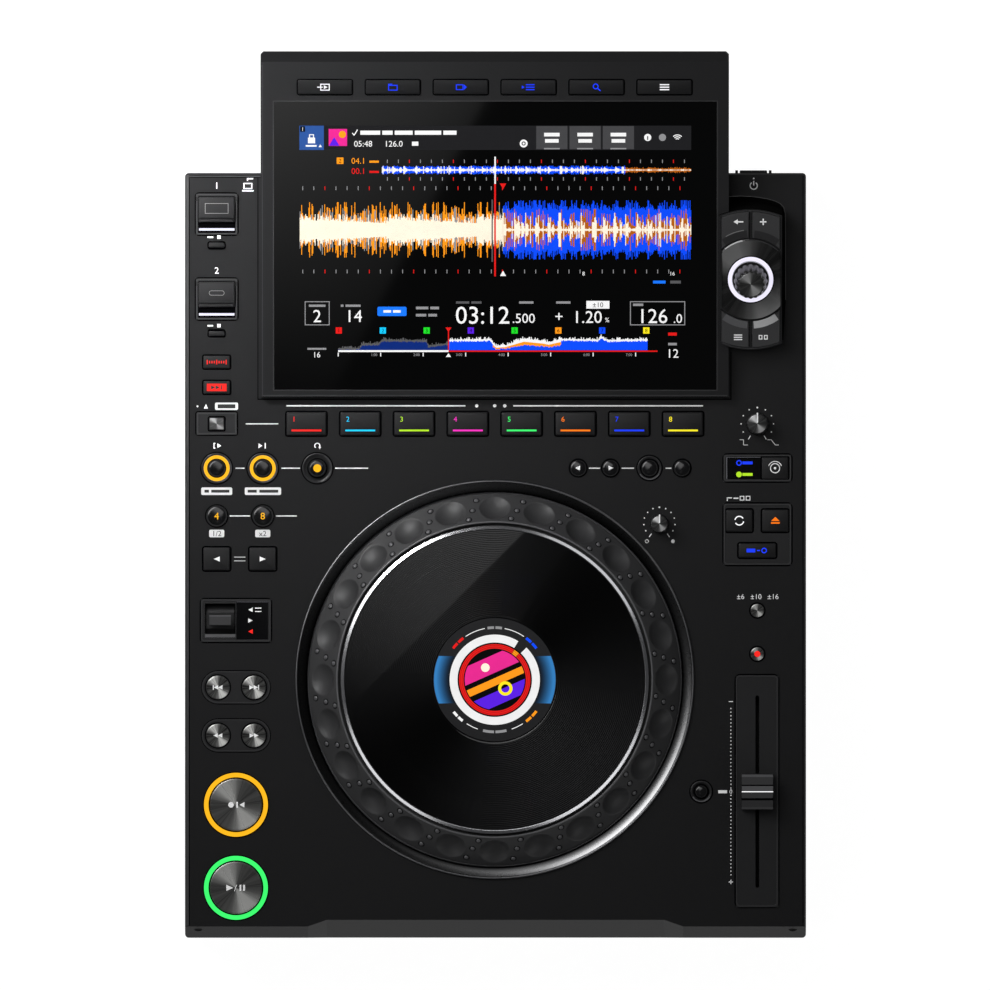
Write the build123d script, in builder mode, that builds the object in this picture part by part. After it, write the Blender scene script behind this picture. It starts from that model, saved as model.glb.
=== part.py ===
from build123d import *
import os
from math import atan2, cos, degrees, radians, sin, tan

# Tabletop media player for disc jockeys, in millimetres: +X to the right, +Y to the rear, +Z up.
# The origin is in the middle of the footprint, on the surface that the feet stand on.

# Heights above the table
foot_height = 6.0
split_height = 30.0
deck_height = 80.0
hood_front_rise = 5.2
height = 118.0

# Walls and fits
wall = 2.5
hood_wall = 3.5
glass_thickness = 1.5
fit_gap = 0.3
seat_gap = 0.1
running_gap = 0.05

# Plan of the cabinet
side_column = 58.9
front_margin = 31.3
band_depth = 44.1
corner_radius = 2.0
edge_bevel = 1.0
front_bevel = 6.1
front_bevel_drop = 9.0
scoop_depth = 9.6
scoop_drop = 15.0
scoop_front_width = 198.8
scoop_rear_width = 178.9

# Display hood
display_x = -0.4
display_depth = 182.8
overhang = 64.1
hood_bevel = 5.8
hood_bevel_drop = 8.0
hood_rear_height = 16.0
hood_lip = 13.0
glass_width = 234.5
glass_side = 6.6
glass_depth = 152.4
glass_front_gap = 3.8
lcd_width = 213.0
lcd_depth = 131.0
lcd_thickness = 3.2
lcd_front_gap = 14.4
menu_key_size = (28.6, 7.4)
menu_key_pitch = 35.9
menu_key_count = 6
menu_key_y = 163.3
menu_proud = 0.8
hood_corner = 1.5
hood_cut = 6.0

# Jog wheel
jog_x = -0.4
jog_bezel_radius = 105.6
jog_skirt_radius = 102.5
jog_dial_radius = 99.3
jog_dial_top_radius = 83.8
jog_groove_radius = 83.0
jog_platter_radius = 81.3
jog_ring_width = 1.3
jog_display_radius = 32.8
jog_post_radius = 14.0
jog_hub_radius = 18.0
jog_height = 92.2
jog_dial_foot = 77.5
jog_dial_low = 66.0
jog_web_height = 88.0
jog_dish_low = 57.0
dish_floor = 3.0
jog_web_thickness = 3.0
jog_skirt_wall = 2.5
jog_bezel_rise = 1.4
jog_bezel_lip = 1.6
jog_bowl_foot = 76.5
jog_bowl_step = 1.2
jog_inner_gap = 0.7
jog_display_gap = 0.6
jog_display_sink = 1.0
jog_display_low = 85.0
jog_core_radius = 38.0
jog_post_wall = 4.0
jog_washer_radius = 20.0
thrust_gap = 0.3
jog_ring_rise = 0.4
dimple_count = 24
dimple_radius = 8.15
dimple_depth = 1.5
dimple_shift = 0.55

# Keys
key_chamfer = 0.35
key_proud = 0.9
flange_width = 1.0
flange_thickness = 1.2
flange_gap = 1.5
key_travel = 0.8
web_depth = 4.0

# Inserts let into the deck
frame_proud = 0.3
frame_depth = 3.5

# How far each row or column of controls lies from the edge or the axis that it follows
outer_x_inset = 16.8
inner_x_inset = 41.2
transport_x_inset = 27.0
right_x_inset = 25.8
play_y_inset = 26.6
cue_y_inset = 70.6
reloop_x_inset = 70.1
call_x_inset = 52.8
memory_x_inset = 90.6
reset_x_inset = 55.5
feel_x_inset = 87.2
search_y_inset = 107.3
track_y_inset = 132.8
direction_y_inset = 168.2
fader_y_inset = 77.6
master_tempo_y_inset = 150.5
tempo_range_y_inset = 173.5
pad_y_inset = 14.2
loop_y_inset = 37.7
beat_y_inset = 63.0
jump_y_inset = 85.8
sync_y_inset = 72.7
feel_y_inset = 67.2
usb_y_inset = 21.9
stop_y_inset = 39.2
quantize_y_inset = 100.2
slip_y_inset = 113.6
selector_y_inset = 56.6
selector_reach = 11.55
power_x_inset = 27.7
post_mid_y_inset = 187.1
supply_x_inset = 60.0
supply_y_inset = 60.0

# Worked out from the sizes above
half_width = jog_bezel_radius + side_column
display_width = glass_width + 2 * glass_side
depth = front_margin + 2 * jog_bezel_radius + band_depth + display_depth
left = -half_width
right = half_width
front = -depth / 2
display_rear = depth / 2
display_front = display_rear - display_depth
cabinet_rear = display_rear - overhang
cabinet_depth = cabinet_rear - front
cabinet_mid_y = (front + cabinet_rear) / 2
jog_y = front + front_margin + jog_bezel_radius
deck_under = deck_height - wall
flange_top = deck_height - wall - flange_gap
flange_low = flange_top - flange_thickness
frame_low = deck_height - frame_depth
frame_top = deck_height + frame_proud
hood_front_z = deck_height + hood_front_rise
hood_top_run = display_depth - hood_bevel
tilt = degrees(atan2(height - hood_front_z, hood_top_run))
stretch = 1 / cos(radians(tilt))
hood_plane = Plane(
    origin=(display_x, display_front, hood_front_z),
    x_dir=(1, 0, 0),
    z_dir=(0, -sin(radians(tilt)), cos(radians(tilt))),
)
hood_normal = hood_plane.z_dir
dimple_orbit = (jog_dial_radius + jog_dial_top_radius) / 2 - dimple_shift
jog_axis = Axis((jog_x, jog_y, 0), (0, 0, 1))
jog_section = Plane(origin=(jog_x, jog_y, 0), x_dir=(1, 0, 0), z_dir=(0, -1, 0))

# Rows and columns of the controls, each held to the edge that it follows
outer_x = left + outer_x_inset
inner_x = left + inner_x_inset
transport_x = left + transport_x_inset
right_x = right - right_x_inset
play_y = front + play_y_inset
cue_y = front + cue_y_inset
reloop_x = left + reloop_x_inset
call_x = jog_x + call_x_inset
memory_x = jog_x + memory_x_inset
call_pitch = 17.1
reset_x = right - reset_x_inset
feel_x = jog_x + feel_x_inset
search_y = front + search_y_inset
track_y = front + track_y_inset
direction_y = front + direction_y_inset
fader_y = front + fader_y_inset
master_tempo_y = front + master_tempo_y_inset
tempo_range_y = front + tempo_range_y_inset
pad_y = display_front - pad_y_inset
loop_y = display_front - loop_y_inset
beat_y = display_front - beat_y_inset
jump_y = display_front - jump_y_inset
sync_y = display_front - sync_y_inset
feel_y = display_front - feel_y_inset
usb_pitch = 44.9
usb_y = cabinet_rear - usb_y_inset
stop_y = cabinet_rear - stop_y_inset
quantize_y = cabinet_rear - quantize_y_inset
slip_y = cabinet_rear - slip_y_inset
selector_y = cabinet_rear - selector_y_inset
selector_x = display_x + display_width / 2 + selector_reach

# Sizes of the controls: a radius, or a width and a depth
play_cap_radius = 13.8
play_ring_radii = (14.8, 17.1)
play_proud = 2.2
loop_cap_radius = 4.7
loop_ring_radii = (5.1, 6.9)
loop_groove_radius = 8.4
loop_proud = 1.4
beat_key_radius = 5.6
call_key_radius = 4.4
search_key_radius = 6.4
search_key_pitch = 19.1
sync_key_pitch = 19.1
sync_key_rise = 7.2
key_sync_drop = 8.6
tempo_key_radius = 3.65
reset_cap_radius = 3.3
reset_groove_radius = 6.0
groove_depth = 0.7
pad_size = (21.2, 12.4)
pad_pitch = 28.5
pad_count = 8
pad_proud = 1.2
small_key_size = (14.1, 6.7)
stop_key_size = (8.3, 2.6)
jump_key_size = (14.2, 12.2)
mode_key_size = (14.1, 11.8)
key_sync_size = (19.9, 7.6)
call_delete_size = (8.1, 6.7)
usb_frame_size = (21.9, 21.7)
selector_frame_size = (33.3, 75.4)
direction_frame_size = (37.0, 22.6)
mode_frame_size = (35.8, 14.2)
sync_frame_size = (35.8, 32.5)
call_frame_size = (21.3, 11.8)
capsule_size = (36.2, 17.2)

# USB wells and their doors
door_size = (19.3, 13.0)
door_thickness = 1.6
door_barrel_radius = 0.8
door_ledge = 1.0
door_y = 2.4
well_depth = 10.0
well_floor = 2.0
usb_shell_size = (13.1, 5.7)
usb_shell_wall = 0.5
usb_shell_height = 12.0
usb_shell_proud = 2.0
well_wall = 1.2
usb_tongue_size = (11.0, 1.9)
light_bar_size = (19.0, 1.8)
usb_bar_y = -8.05
door_pin_radius = 0.4
door_ear_depth = 2.4
door_pin_length = 0.7
door_lip = 1.6
door_lip_rise = 0.4
usb_tongue_shift = 0.9

# Selector
selector_knob_radius = 9.0
selector_knob_top_radius = 7.4
selector_knob_height = 13.0
selector_knob_lift = 2.6
selector_ring_radii = (9.7, 12.0)
selector_disc_radius = 21.5
selector_shaft_radius = 3.0
selector_sides = 20
selector_bow_radius = 42.5
browse_key_gap = 0.9
browse_key_start = 15.0
browse_rim = 1.3
browse_web_y = 28.0
browse_skirt = 2.4
selector_disc_rise = 0.6
selector_ring_depth = 2.6
selector_rise = 2.0
tower_wall = 2.0
tower_depth = 40.0
tower_board_size = (27.0, 60.0)
tower_post_x = 12.0
browse_switch_x = 8.0
selector_play = 0.3

# Knobs
knob_shaft_radius = 2.5
knob_height = 9.0
feel_knob_radius = 5.1
vinyl_knob_radius = 6.1
knob_lift = 0.6
knob_sides = 16
pot_height = 2.5

# Direction lever
lever_well_size = (16.1, 18.1)
lever_width = 14.9
lever_shoe_depth = 8.4
lever_shoe_rise = 0.6
lever_grip_size = (11.2, 4.6)
lever_grip_height = 7.0
lever_pivot_drop = 15.0
lever_shutter_radius = 13.5
lever_shutter_thickness = 1.5
lever_shutter_angle = 52.0
lever_pin_radius = 1.5
lever_hub_radius = 3.0
lever_stem = 3.0
lever_ear = 2.2
lever_grip_taper = 4.0
lever_x = -8.4
window_x = 8.6
direction_window_size = (16.7, 19.7)
mode_window_size = (17.8, 11.5)
mode_window_x = -7.3
mode_key_x = 9.4
window_thickness = 1.0

# Tempo fader
fader_plate_size = (22.3, 122.6)
fader_plate_proud = 0.8
fader_slot = (2.0, 101.9)
fader_stem = (1.2, 6.0)
fader_unit_size = (14.0, 118.0)
fader_unit_height = 14.0
fader_cap_width = 17.1
fader_cap_lift = 0.5
fader_carriage_size = (7.0, 10.0)
fader_carriage_height = 4.0
fader_carriage_drop = 7.0
fader_cap_steps = ((9.45, 3.0), (6.6, 5.2), (3.6, 7.2), (1.3, 9.0))

# Rear panel and sockets
rear_window_left = 34.0
rear_window_right = 46.0
rear_window_low = 4.0
rear_window_high = 6.0
panel_margin = 4.0
panel_thickness = 1.5
socket_height = 52.0
inlet_x = 92.0
inlet_size = (27.0, 20.0)
inlet_flange = 2.0
inlet_cavity = (23.0, 16.0)
inlet_depth = 24.0
inlet_cavity_depth = 16.0
inlet_pin = (2.0, 4.0)
inlet_pin_length = 11.0
inlet_pin_pitch = 14.0
inlet_pin_rise = 2.0
audio_jack_x = (-104.0, -88.0, -62.0)
audio_jack_radius = 4.15
audio_jack_bore = 1.7
audio_jack_flange = 5.6
audio_jack_length = 9.0
network_x = -28.0
network_size = (16.0, 14.0)
network_cavity = (11.7, 8.2)
network_depth = 16.0
data_x = 2.0
data_size = (12.0, 11.0)
data_cavity = (8.5, 7.8)
data_tongue = (5.6, 3.2)
power_x = right - power_x_inset
power_z = 58.0
power_key_size = (14.5, 9.0)
power_proud = 1.6
power_depth = 12.0
guard_offset = 8.9
guard_width = 1.4

# Fasteners, feet and boards
post_inset = 7.0
post_radius = 3.5
post_mid_y = front + post_mid_y_inset
screw_radius = 1.3
screw_head_radius = 2.6
screw_head_height = 1.6
screw_length = 14.0
foot_radius = 11.0
foot_inset = (28.0, 26.0)
board_thickness = 1.6
board_drop = 4.6
switch_size = 3.2
pot_size = 10.0
board_post_size = 4.0
board_post_inset = 3.5
board_edge = 11.5
board_clear = 2.9
board_reach = 7.5
pad_board_size = (208.0, 38.0)
right_board_width = 30.0
small_board_size = (12.0, 20.0)
small_board_shift = 4.0
deck_cut = 9.0
ring_drop = 1.0
ring_proud = 0.3
main_board_size = (190.0, 150.0)
main_board_standoff = 8.0
main_board_x = -40.0
main_board_y = 60.0
standoff_size = 6.0
standoff_inset = 8.0
chip_size = (30.0, 30.0)
chip_height = 3.0
supply_size = (80.0, 60.0)
supply_height = 34.0
supply_x = right - supply_x_inset
supply_y = cabinet_rear - supply_y_inset
supply_vent_count = 8
supply_vent_pitch = 8.0
supply_vent_size = (1.5, 30.0)
supply_vent_depth = 1.5


def outline(size, grow=0.0):
    """Draws a circle for a radius, or a rectangle for a width and a depth."""
    if isinstance(size, tuple):
        Rectangle(size[0] + 2 * grow, size[1] + 2 * grow)
    else:
        Circle(size + grow)


def covering(size, margin):
    """Width and depth of a rectangle that covers a control with a margin round it."""
    width, depth = size if isinstance(size, tuple) else (2 * size, 2 * size)
    return width + 2 * margin, depth + 2 * margin


def hood_top(y):
    """Height of the hood's sloping top at a place along Y."""
    return hood_front_z + (y - display_front) * tan(radians(tilt))


def hood_under(y):
    """Height of the hood's underside behind the cabinet."""
    rise = height - hood_bevel_drop - hood_rear_height - deck_height
    return deck_height + rise * (y - cabinet_rear) / overhang


def row(count, pitch, x, y):
    """Places in a row along X, evenly spaced about a middle."""
    return [(x + (i - (count - 1) / 2) * pitch, y) for i in range(count)]


def upward_plane(a, b, c):
    """The plane through three points that faces up."""
    a, b, c = Vector(*a), Vector(*b), Vector(*c)
    normal = (b - a).cross(c - a)
    if normal.Z < 0:
        normal = normal * -1
    return Plane(origin=a, x_dir=b - a, z_dir=normal)


def selector_face(grow=0.0):
    """The selector's outline, a rectangle with bowed ends."""
    bow = selector_bow_radius - selector_frame_size[1] / 2
    with BuildSketch() as face:
        Rectangle(selector_frame_size[0] + 2 * grow, selector_frame_size[1] + 2 * grow)
        with Locations((0, bow)):
            Circle(selector_bow_radius + grow, mode=Mode.INTERSECT)
        with Locations((0, -bow)):
            Circle(selector_bow_radius + grow, mode=Mode.INTERSECT)
    return face.sketch


def browse_key_face(end, grow=0.0):
    """A pair of keys at one end of the selector, cut away round its disc."""
    with BuildSketch() as face:
        add(selector_face(grow - browse_rim))
        with Locations((0, end * selector_frame_size[1] / 2)):
            reach = selector_frame_size[1] - 2 * browse_key_start + 2 * grow
            Rectangle(selector_frame_size[0], reach, mode=Mode.INTERSECT)
        Rectangle(2 * (browse_key_gap - grow), selector_frame_size[1], mode=Mode.SUBTRACT)
        Circle(selector_disc_radius + browse_key_gap - grow, mode=Mode.SUBTRACT)
    return face.sketch


def save(part, name):
    """Labels a finished piece and writes it."""
    part.label = name
    export_step(part, f"parts/{name}.step")


os.makedirs("parts", exist_ok=True)

# The selector stands on a tower beside the display, with its top parallel to the hood's
selector_plane = Plane(
    origin=(selector_x, selector_y, hood_top(selector_y) + selector_rise),
    x_dir=(1, 0, 0),
    z_dir=hood_normal,
)
hood_flange = -hood_wall - fit_gap
tower_board = hood_flange - flange_thickness - board_drop

with BuildSketch() as disc_face:
    add(selector_face(-browse_rim))
    Circle(selector_disc_radius, mode=Mode.INTERSECT)
selector_disc = disc_face.sketch

pads = row(pad_count, pad_pitch, jog_x, pad_y)
track_row = row(2, search_key_pitch, transport_x, track_y)
search_row = row(2, search_key_pitch, transport_x, search_y)
call_row = row(2, call_pitch, call_x, loop_y)
memory_row = row(2, call_pitch, memory_x, loop_y)
sync_row = row(2, sync_key_pitch, right_x, sync_y + sync_key_rise)

# Keys that come straight up through the deck: places, size, and how far they stand proud
deck_keys = {
    "play_key": ([(transport_x, play_y)], play_cap_radius, play_proud),
    "cue_key": ([(transport_x, cue_y)], play_cap_radius, play_proud),
    "loop_in_key": ([(outer_x, loop_y)], loop_cap_radius, loop_proud),
    "loop_out_key": ([(inner_x, loop_y)], loop_cap_radius, loop_proud),
    "reloop_key": ([(reloop_x, loop_y)], loop_cap_radius, loop_proud),
    "beat_loop_keys": ([(outer_x, beat_y), (inner_x, beat_y)], beat_key_radius, key_proud),
    "beat_jump_keys": ([(outer_x, jump_y), (inner_x, jump_y)], jump_key_size, key_proud),
    "quantize_key": ([(outer_x, quantize_y)], small_key_size, key_proud),
    "slip_key": ([(outer_x, slip_y)], small_key_size, key_proud),
    "cue_call_keys": (call_row, call_key_radius, loop_proud),
    "cue_memory_keys": (memory_row, call_key_radius, loop_proud),
    "tempo_range_key": ([(right_x, tempo_range_y)], tempo_key_radius, key_proud),
    "master_tempo_key": ([(right_x, master_tempo_y)], tempo_key_radius, key_proud),
    "tempo_reset_key": ([(reset_x, fader_y)], reset_cap_radius, loop_proud),
}
for i, place in enumerate(pads):
    deck_keys[f"hot_cue_{i + 1}"] = ([place], pad_size, pad_proud)

# Stop keys of the two USB sockets, too far apart for one web
stop_places = [(outer_x, stop_y), (outer_x, stop_y - usb_pitch)]

# Keys that come up through an insert
insert_keys = {
    "track_keys": (track_row, search_key_radius, key_proud),
    "search_keys": (search_row, search_key_radius, key_proud),
    "call_delete_key": ([(outer_x, pad_y)], call_delete_size, key_proud),
    "jog_mode_key": ([(right_x + mode_key_x, loop_y)], mode_key_size, key_proud),
    "sync_keys": (sync_row, mode_key_size, key_proud),
    "key_sync_key": ([(right_x, sync_y - key_sync_drop)], key_sync_size, key_proud),
}

# Inserts let into the deck: plates with square corners, and capsules with round ends
usb_places = [(outer_x, usb_y), (outer_x, usb_y - usb_pitch)]
plates = [
    (usb_places[0], usb_frame_size),
    (usb_places[1], usb_frame_size),
    ((transport_x, direction_y), direction_frame_size),
    ((right_x, loop_y), mode_frame_size),
    ((right_x, sync_y), sync_frame_size),
    ((outer_x, pad_y), call_frame_size),
]
capsules = [(transport_x, track_y), (transport_x, search_y)]

# Light rings round the keys: place, then inner and outer radius
light_rings = [
    ((transport_x, play_y), play_ring_radii),
    ((transport_x, cue_y), play_ring_radii),
    ((outer_x, loop_y), loop_ring_radii),
    ((inner_x, loop_y), loop_ring_radii),
]
groove_places = {
    loop_groove_radius: [(outer_x, loop_y), (inner_x, loop_y), (reloop_x, loop_y)],
    reset_groove_radius: [(reset_x, fader_y)],
}
knobs = {
    "jog_feel_knob": ((feel_x, feel_y), feel_knob_radius),
    "vinyl_speed_knob": ((right_x, pad_y), vinyl_knob_radius),
}
knob_places = [place for place, radius in knobs.values()]

posts = [
    (side * (half_width - post_inset), y)
    for side in (-1, 1)
    for y in (front + post_inset, post_mid_y, cabinet_rear - post_inset)
]
feet = [
    (side * (half_width - foot_inset[0]), y)
    for side in (-1, 1)
    for y in (front + foot_inset[1], cabinet_rear - foot_inset[1])
]

# Key boards hung under the deck: middle, size, and the posts that hold them
left_board_x = (left + board_edge + jog_x - jog_bezel_radius - board_clear) / 2
left_board_width = jog_x - jog_bezel_radius - board_clear - left - board_edge
left_board_y = (front + board_edge + quantize_y + board_reach) / 2
left_board_depth = quantize_y + board_reach - front - board_edge
pad_board_y = (pad_y + loop_y) / 2
right_board_y = (master_tempo_y + pad_y) / 2
right_board_depth = pad_y - master_tempo_y + 2 * board_reach
boards = [
    ((left_board_x, left_board_y), (left_board_width, left_board_depth)),
    ((jog_x, pad_board_y), pad_board_size),
    ((right_x, right_board_y), (right_board_width, right_board_depth)),
    ((reset_x, fader_y + small_board_shift), small_board_size),
    ((feel_x, feel_y + small_board_shift), small_board_size),
]
board_top = flange_low - board_drop
left_post_x = left_board_x + left_board_width / 2 - board_post_inset
left_post_reach = left_board_depth / 2 - board_post_inset
right_post_x = right_x - right_board_width / 2 + board_post_inset
right_post_reach = right_board_depth / 2 - board_post_inset
board_posts = [
    (left_post_x, left_board_y - left_post_reach),
    (left_post_x, left_board_y + left_post_reach),
    (jog_x - 3 * pad_pitch, pad_board_y),
    (jog_x + 3 * pad_pitch, pad_board_y),
    (right_post_x, right_board_y - right_post_reach),
    (right_post_x, right_board_y + right_post_reach),
    (reset_x, fader_y + 2 * small_board_shift),
    (feel_x, feel_y + 2 * small_board_shift),
]

# Bottom chassis: a tray with recesses for the screw heads
with BuildPart() as bottom_chassis:
    with BuildSketch(Plane.XY.offset(foot_height)):
        with Locations((0, cabinet_mid_y)):
            RectangleRounded(2 * half_width, cabinet_depth, corner_radius)
    extrude(amount=split_height - foot_height)
    with BuildSketch(Plane.XY.offset(foot_height + wall)):
        with Locations((0, cabinet_mid_y)):
            Rectangle(2 * half_width - 2 * wall, cabinet_depth - 2 * wall)
    extrude(amount=split_height - foot_height, mode=Mode.SUBTRACT)
    with BuildSketch(Plane.XY.offset(foot_height)):
        with Locations(*posts):
            Circle(screw_head_radius + seat_gap)
    extrude(amount=screw_head_height, mode=Mode.SUBTRACT)
    with BuildSketch(Plane.XY.offset(foot_height)):
        with Locations(*posts):
            Circle(screw_radius + seat_gap)
    extrude(amount=wall, mode=Mode.SUBTRACT)
save(bottom_chassis.part, "bottom_chassis")

# Rubber feet, bonded to the bottom
with BuildPart() as rubber_feet:
    with BuildSketch():
        with Locations(*feet):
            Circle(foot_radius)
    extrude(amount=foot_height)
    chamfer(rubber_feet.edges().group_by(Axis.Z)[0], edge_bevel)
save(rubber_feet.part, "rubber_feet")

# Screws that hold the tray to the cabinet's posts
with BuildPart() as case_screws:
    with BuildSketch(Plane.XY.offset(foot_height)):
        with Locations(*posts):
            Circle(screw_head_radius)
    extrude(amount=screw_head_height)
    with BuildSketch(Plane.XY.offset(foot_height + screw_head_height)):
        with Locations(*posts):
            Circle(screw_radius)
    extrude(amount=screw_length)
save(case_screws.part, "case_screws")

# The finger scoop that steps the middle of the front bevel further back
with BuildPart() as scoop:
    with Locations((0, front, deck_height)):
        Box(scoop_front_width, scoop_depth, scoop_drop, align=(Align.CENTER, Align.MIN, Align.MAX))
    half_scoop = scoop_rear_width / 2
    split(
        bisect_by=upward_plane(
            (-half_scoop, front, deck_height - scoop_drop),
            (half_scoop, front, deck_height - scoop_drop),
            (0, front + scoop_depth, deck_height),
        )
    )
    for side in (-1, 1):
        split(
            bisect_by=upward_plane(
                (side * half_scoop, front, deck_height - scoop_drop),
                (side * half_scoop, front + scoop_depth, deck_height),
                (side * scoop_front_width / 2, front + front_bevel, deck_height),
            )
        )

# Top cabinet: the moulded deck with its walls, holes, grooves and posts
with BuildPart() as top_cabinet:
    with BuildSketch(Plane.XY.offset(split_height)):
        with Locations((0, cabinet_mid_y)):
            RectangleRounded(2 * half_width, cabinet_depth, corner_radius)
    extrude(amount=deck_height - split_height)
    chamfer(top_cabinet.faces().sort_by(Axis.Z)[-1].edges(), edge_bevel)
    with BuildSketch(Plane.YZ.offset(-half_width)):
        with BuildLine():
            Polyline(
                (front, deck_height - front_bevel_drop),
                (front + front_bevel, deck_height),
                (front, deck_height),
                close=True,
            )
        make_face()
    extrude(amount=2 * half_width, mode=Mode.SUBTRACT)
    add(scoop.part, mode=Mode.SUBTRACT)
    with BuildSketch(Plane.YZ.offset(wall - half_width)):
        with BuildLine():
            Polyline(
                (front + wall, split_height),
                (front + wall, deck_height - scoop_drop - wall),
                (front + scoop_depth + wall, deck_under),
                (cabinet_rear - wall, deck_under),
                (cabinet_rear - wall, split_height),
                close=True,
            )
        make_face()
    extrude(amount=2 * (half_width - wall), mode=Mode.SUBTRACT)
    with BuildSketch(Plane.XY.offset(deck_height)):
        for places, size, proud in deck_keys.values():
            with Locations(*places):
                outline(size, fit_gap)
        with Locations(*stop_places):
            outline(stop_key_size, fit_gap)
        for place, size in plates:
            with Locations(place):
                outline(size, seat_gap)
        with Locations(*capsules):
            SlotOverall(capsule_size[0] + 2 * seat_gap, capsule_size[1] + 2 * seat_gap)
        for place, radii in light_rings:
            with Locations(place):
                Circle(radii[1] + seat_gap)
        with Locations((jog_x, jog_y)):
            Circle(jog_skirt_radius + seat_gap)
        with Locations(*knob_places):
            Circle(knob_shaft_radius + fit_gap)
        with Locations((right_x, fader_y)):
            Rectangle(*covering(fader_slot, wall))
    extrude(amount=-deck_cut, mode=Mode.SUBTRACT)
    with BuildSketch(Plane.XY.offset(deck_height)):
        for radius, places in groove_places.items():
            with Locations(*places):
                Circle(radius)
        with Locations((right_x, fader_y)):
            Rectangle(*covering(fader_plate_size, seat_gap))
    extrude(amount=-groove_depth, mode=Mode.SUBTRACT)
    with BuildSketch(Plane.XY.offset(foot_height + wall)):
        with Locations(*posts):
            Circle(post_radius)
    extrude(amount=deck_under - foot_height - wall)
    with BuildSketch(Plane.XY.offset(foot_height + wall)):
        with Locations(*posts):
            Circle(screw_radius + seat_gap)
    extrude(amount=screw_length, mode=Mode.SUBTRACT)
    with BuildSketch(Plane.XY.offset(board_top)):
        with Locations(*board_posts):
            Rectangle(board_post_size, board_post_size)
    extrude(amount=deck_under - board_top)
    with BuildSketch(Plane.XZ.offset(-cabinet_rear)):
        with Locations(((rear_window_left - rear_window_right) / 2, (split_height + deck_height) / 2)):
            Rectangle(
                2 * half_width - rear_window_left - rear_window_right,
                deck_height - split_height - rear_window_low - rear_window_high,
            )
        with Locations((power_x, power_z)):
            Rectangle(*covering(power_key_size, fit_gap))
    extrude(amount=wall, mode=Mode.SUBTRACT)
    with BuildSketch(Plane.XZ.offset(-cabinet_rear)):
        with Locations((power_x - guard_offset, power_z), (power_x + guard_offset, power_z)):
            Rectangle(guard_width, power_key_size[1])
    extrude(amount=-power_proud)
save(top_cabinet.part, "top_cabinet")

# Display hood: a wedge that overhangs the rear, open below where it stands on the deck, with the
# selector's tower moulded into its right side
with BuildPart() as display_housing:
    with BuildSketch(Plane.YZ.offset(display_x - display_width / 2)):
        with BuildLine():
            Polyline(
                (display_front, deck_height),
                (display_front, hood_front_z),
                (display_rear - hood_bevel, height),
                (display_rear, height - hood_bevel_drop),
                (display_rear, hood_under(display_rear)),
                (cabinet_rear + seat_gap, deck_height),
                close=True,
            )
        make_face()
    extrude(amount=display_width)
    chamfer(display_housing.edges().filter_by(Axis.Z).group_by(Axis.Y)[-1], hood_corner)
    cavity_front = display_front + hood_lip
    cavity_rear = display_rear - hood_bevel - hood_wall
    with BuildSketch(Plane.YZ.offset(display_x - display_width / 2 + hood_wall)):
        with BuildLine():
            Polyline(
                (cavity_front, deck_height),
                (cavity_front, hood_top(cavity_front) - hood_wall),
                (cavity_rear, hood_top(cavity_rear) - hood_wall),
                (cavity_rear, hood_under(cavity_rear) + hood_wall),
                (cabinet_rear - hood_wall, deck_height + hood_wall),
                (cabinet_rear - hood_wall, deck_height),
                close=True,
            )
        make_face()
    extrude(amount=display_width - 2 * hood_wall, mode=Mode.SUBTRACT)
    with BuildSketch(selector_plane):
        add(selector_face())
    extrude(amount=-tower_depth)
    split(bisect_by=Plane.XY.offset(deck_height))
    with BuildSketch(selector_plane):
        add(selector_disc)
    extrude(amount=selector_disc_rise)
    with BuildSketch(selector_plane.offset(-hood_wall)):
        add(selector_face(-tower_wall))
    extrude(amount=-tower_depth, mode=Mode.SUBTRACT)
    with BuildSketch(selector_plane):
        add(browse_key_face(1, fit_gap))
        add(browse_key_face(-1, fit_gap))
        Circle(selector_shaft_radius + fit_gap)
    extrude(amount=-hood_wall, mode=Mode.SUBTRACT)
    with BuildSketch(selector_plane.offset(selector_disc_rise)):
        Circle(selector_ring_radii[1] + seat_gap)
        Circle(selector_ring_radii[0] - seat_gap, mode=Mode.SUBTRACT)
        Circle(selector_shaft_radius + fit_gap)
    extrude(amount=-selector_ring_depth, mode=Mode.SUBTRACT)
    with BuildSketch(selector_plane.offset(-hood_wall)):
        with Locations((-tower_post_x, 0), (tower_post_x, 0)):
            Rectangle(board_post_size, board_post_size)
    extrude(amount=tower_board + hood_wall)
    with BuildSketch(hood_plane):
        with Locations((0, glass_front_gap * stretch + glass_depth * stretch / 2)):
            Rectangle(glass_width + 2 * seat_gap, glass_depth * stretch + 2 * seat_gap)
    extrude(amount=-glass_thickness, mode=Mode.SUBTRACT)
    with BuildSketch(hood_plane):
        with Locations((0, lcd_front_gap * stretch + lcd_depth * stretch / 2)):
            Rectangle(lcd_width + 2 * seat_gap, lcd_depth * stretch + 2 * seat_gap)
        with Locations(*row(menu_key_count, menu_key_pitch, 0, menu_key_y * stretch)):
            Rectangle(menu_key_size[0] + 2 * fit_gap, menu_key_size[1] * stretch + 2 * fit_gap)
    extrude(amount=-hood_cut, mode=Mode.SUBTRACT)
save(display_housing.part, "display_housing")

# Cover glass, let into the hood, with the display bonded under it
with BuildPart() as display_glass:
    with BuildSketch(hood_plane.offset(-glass_thickness)):
        with Locations((0, glass_front_gap * stretch + glass_depth * stretch / 2)):
            Rectangle(glass_width, glass_depth * stretch)
    extrude(amount=glass_thickness)
save(display_glass.part, "display_glass")

with BuildPart() as lcd_panel:
    with BuildSketch(hood_plane.offset(-glass_thickness - lcd_thickness)):
        with Locations((0, lcd_front_gap * stretch + lcd_depth * stretch / 2)):
            Rectangle(lcd_width, lcd_depth * stretch)
    extrude(amount=lcd_thickness)
save(lcd_panel.part, "lcd_panel")

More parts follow.
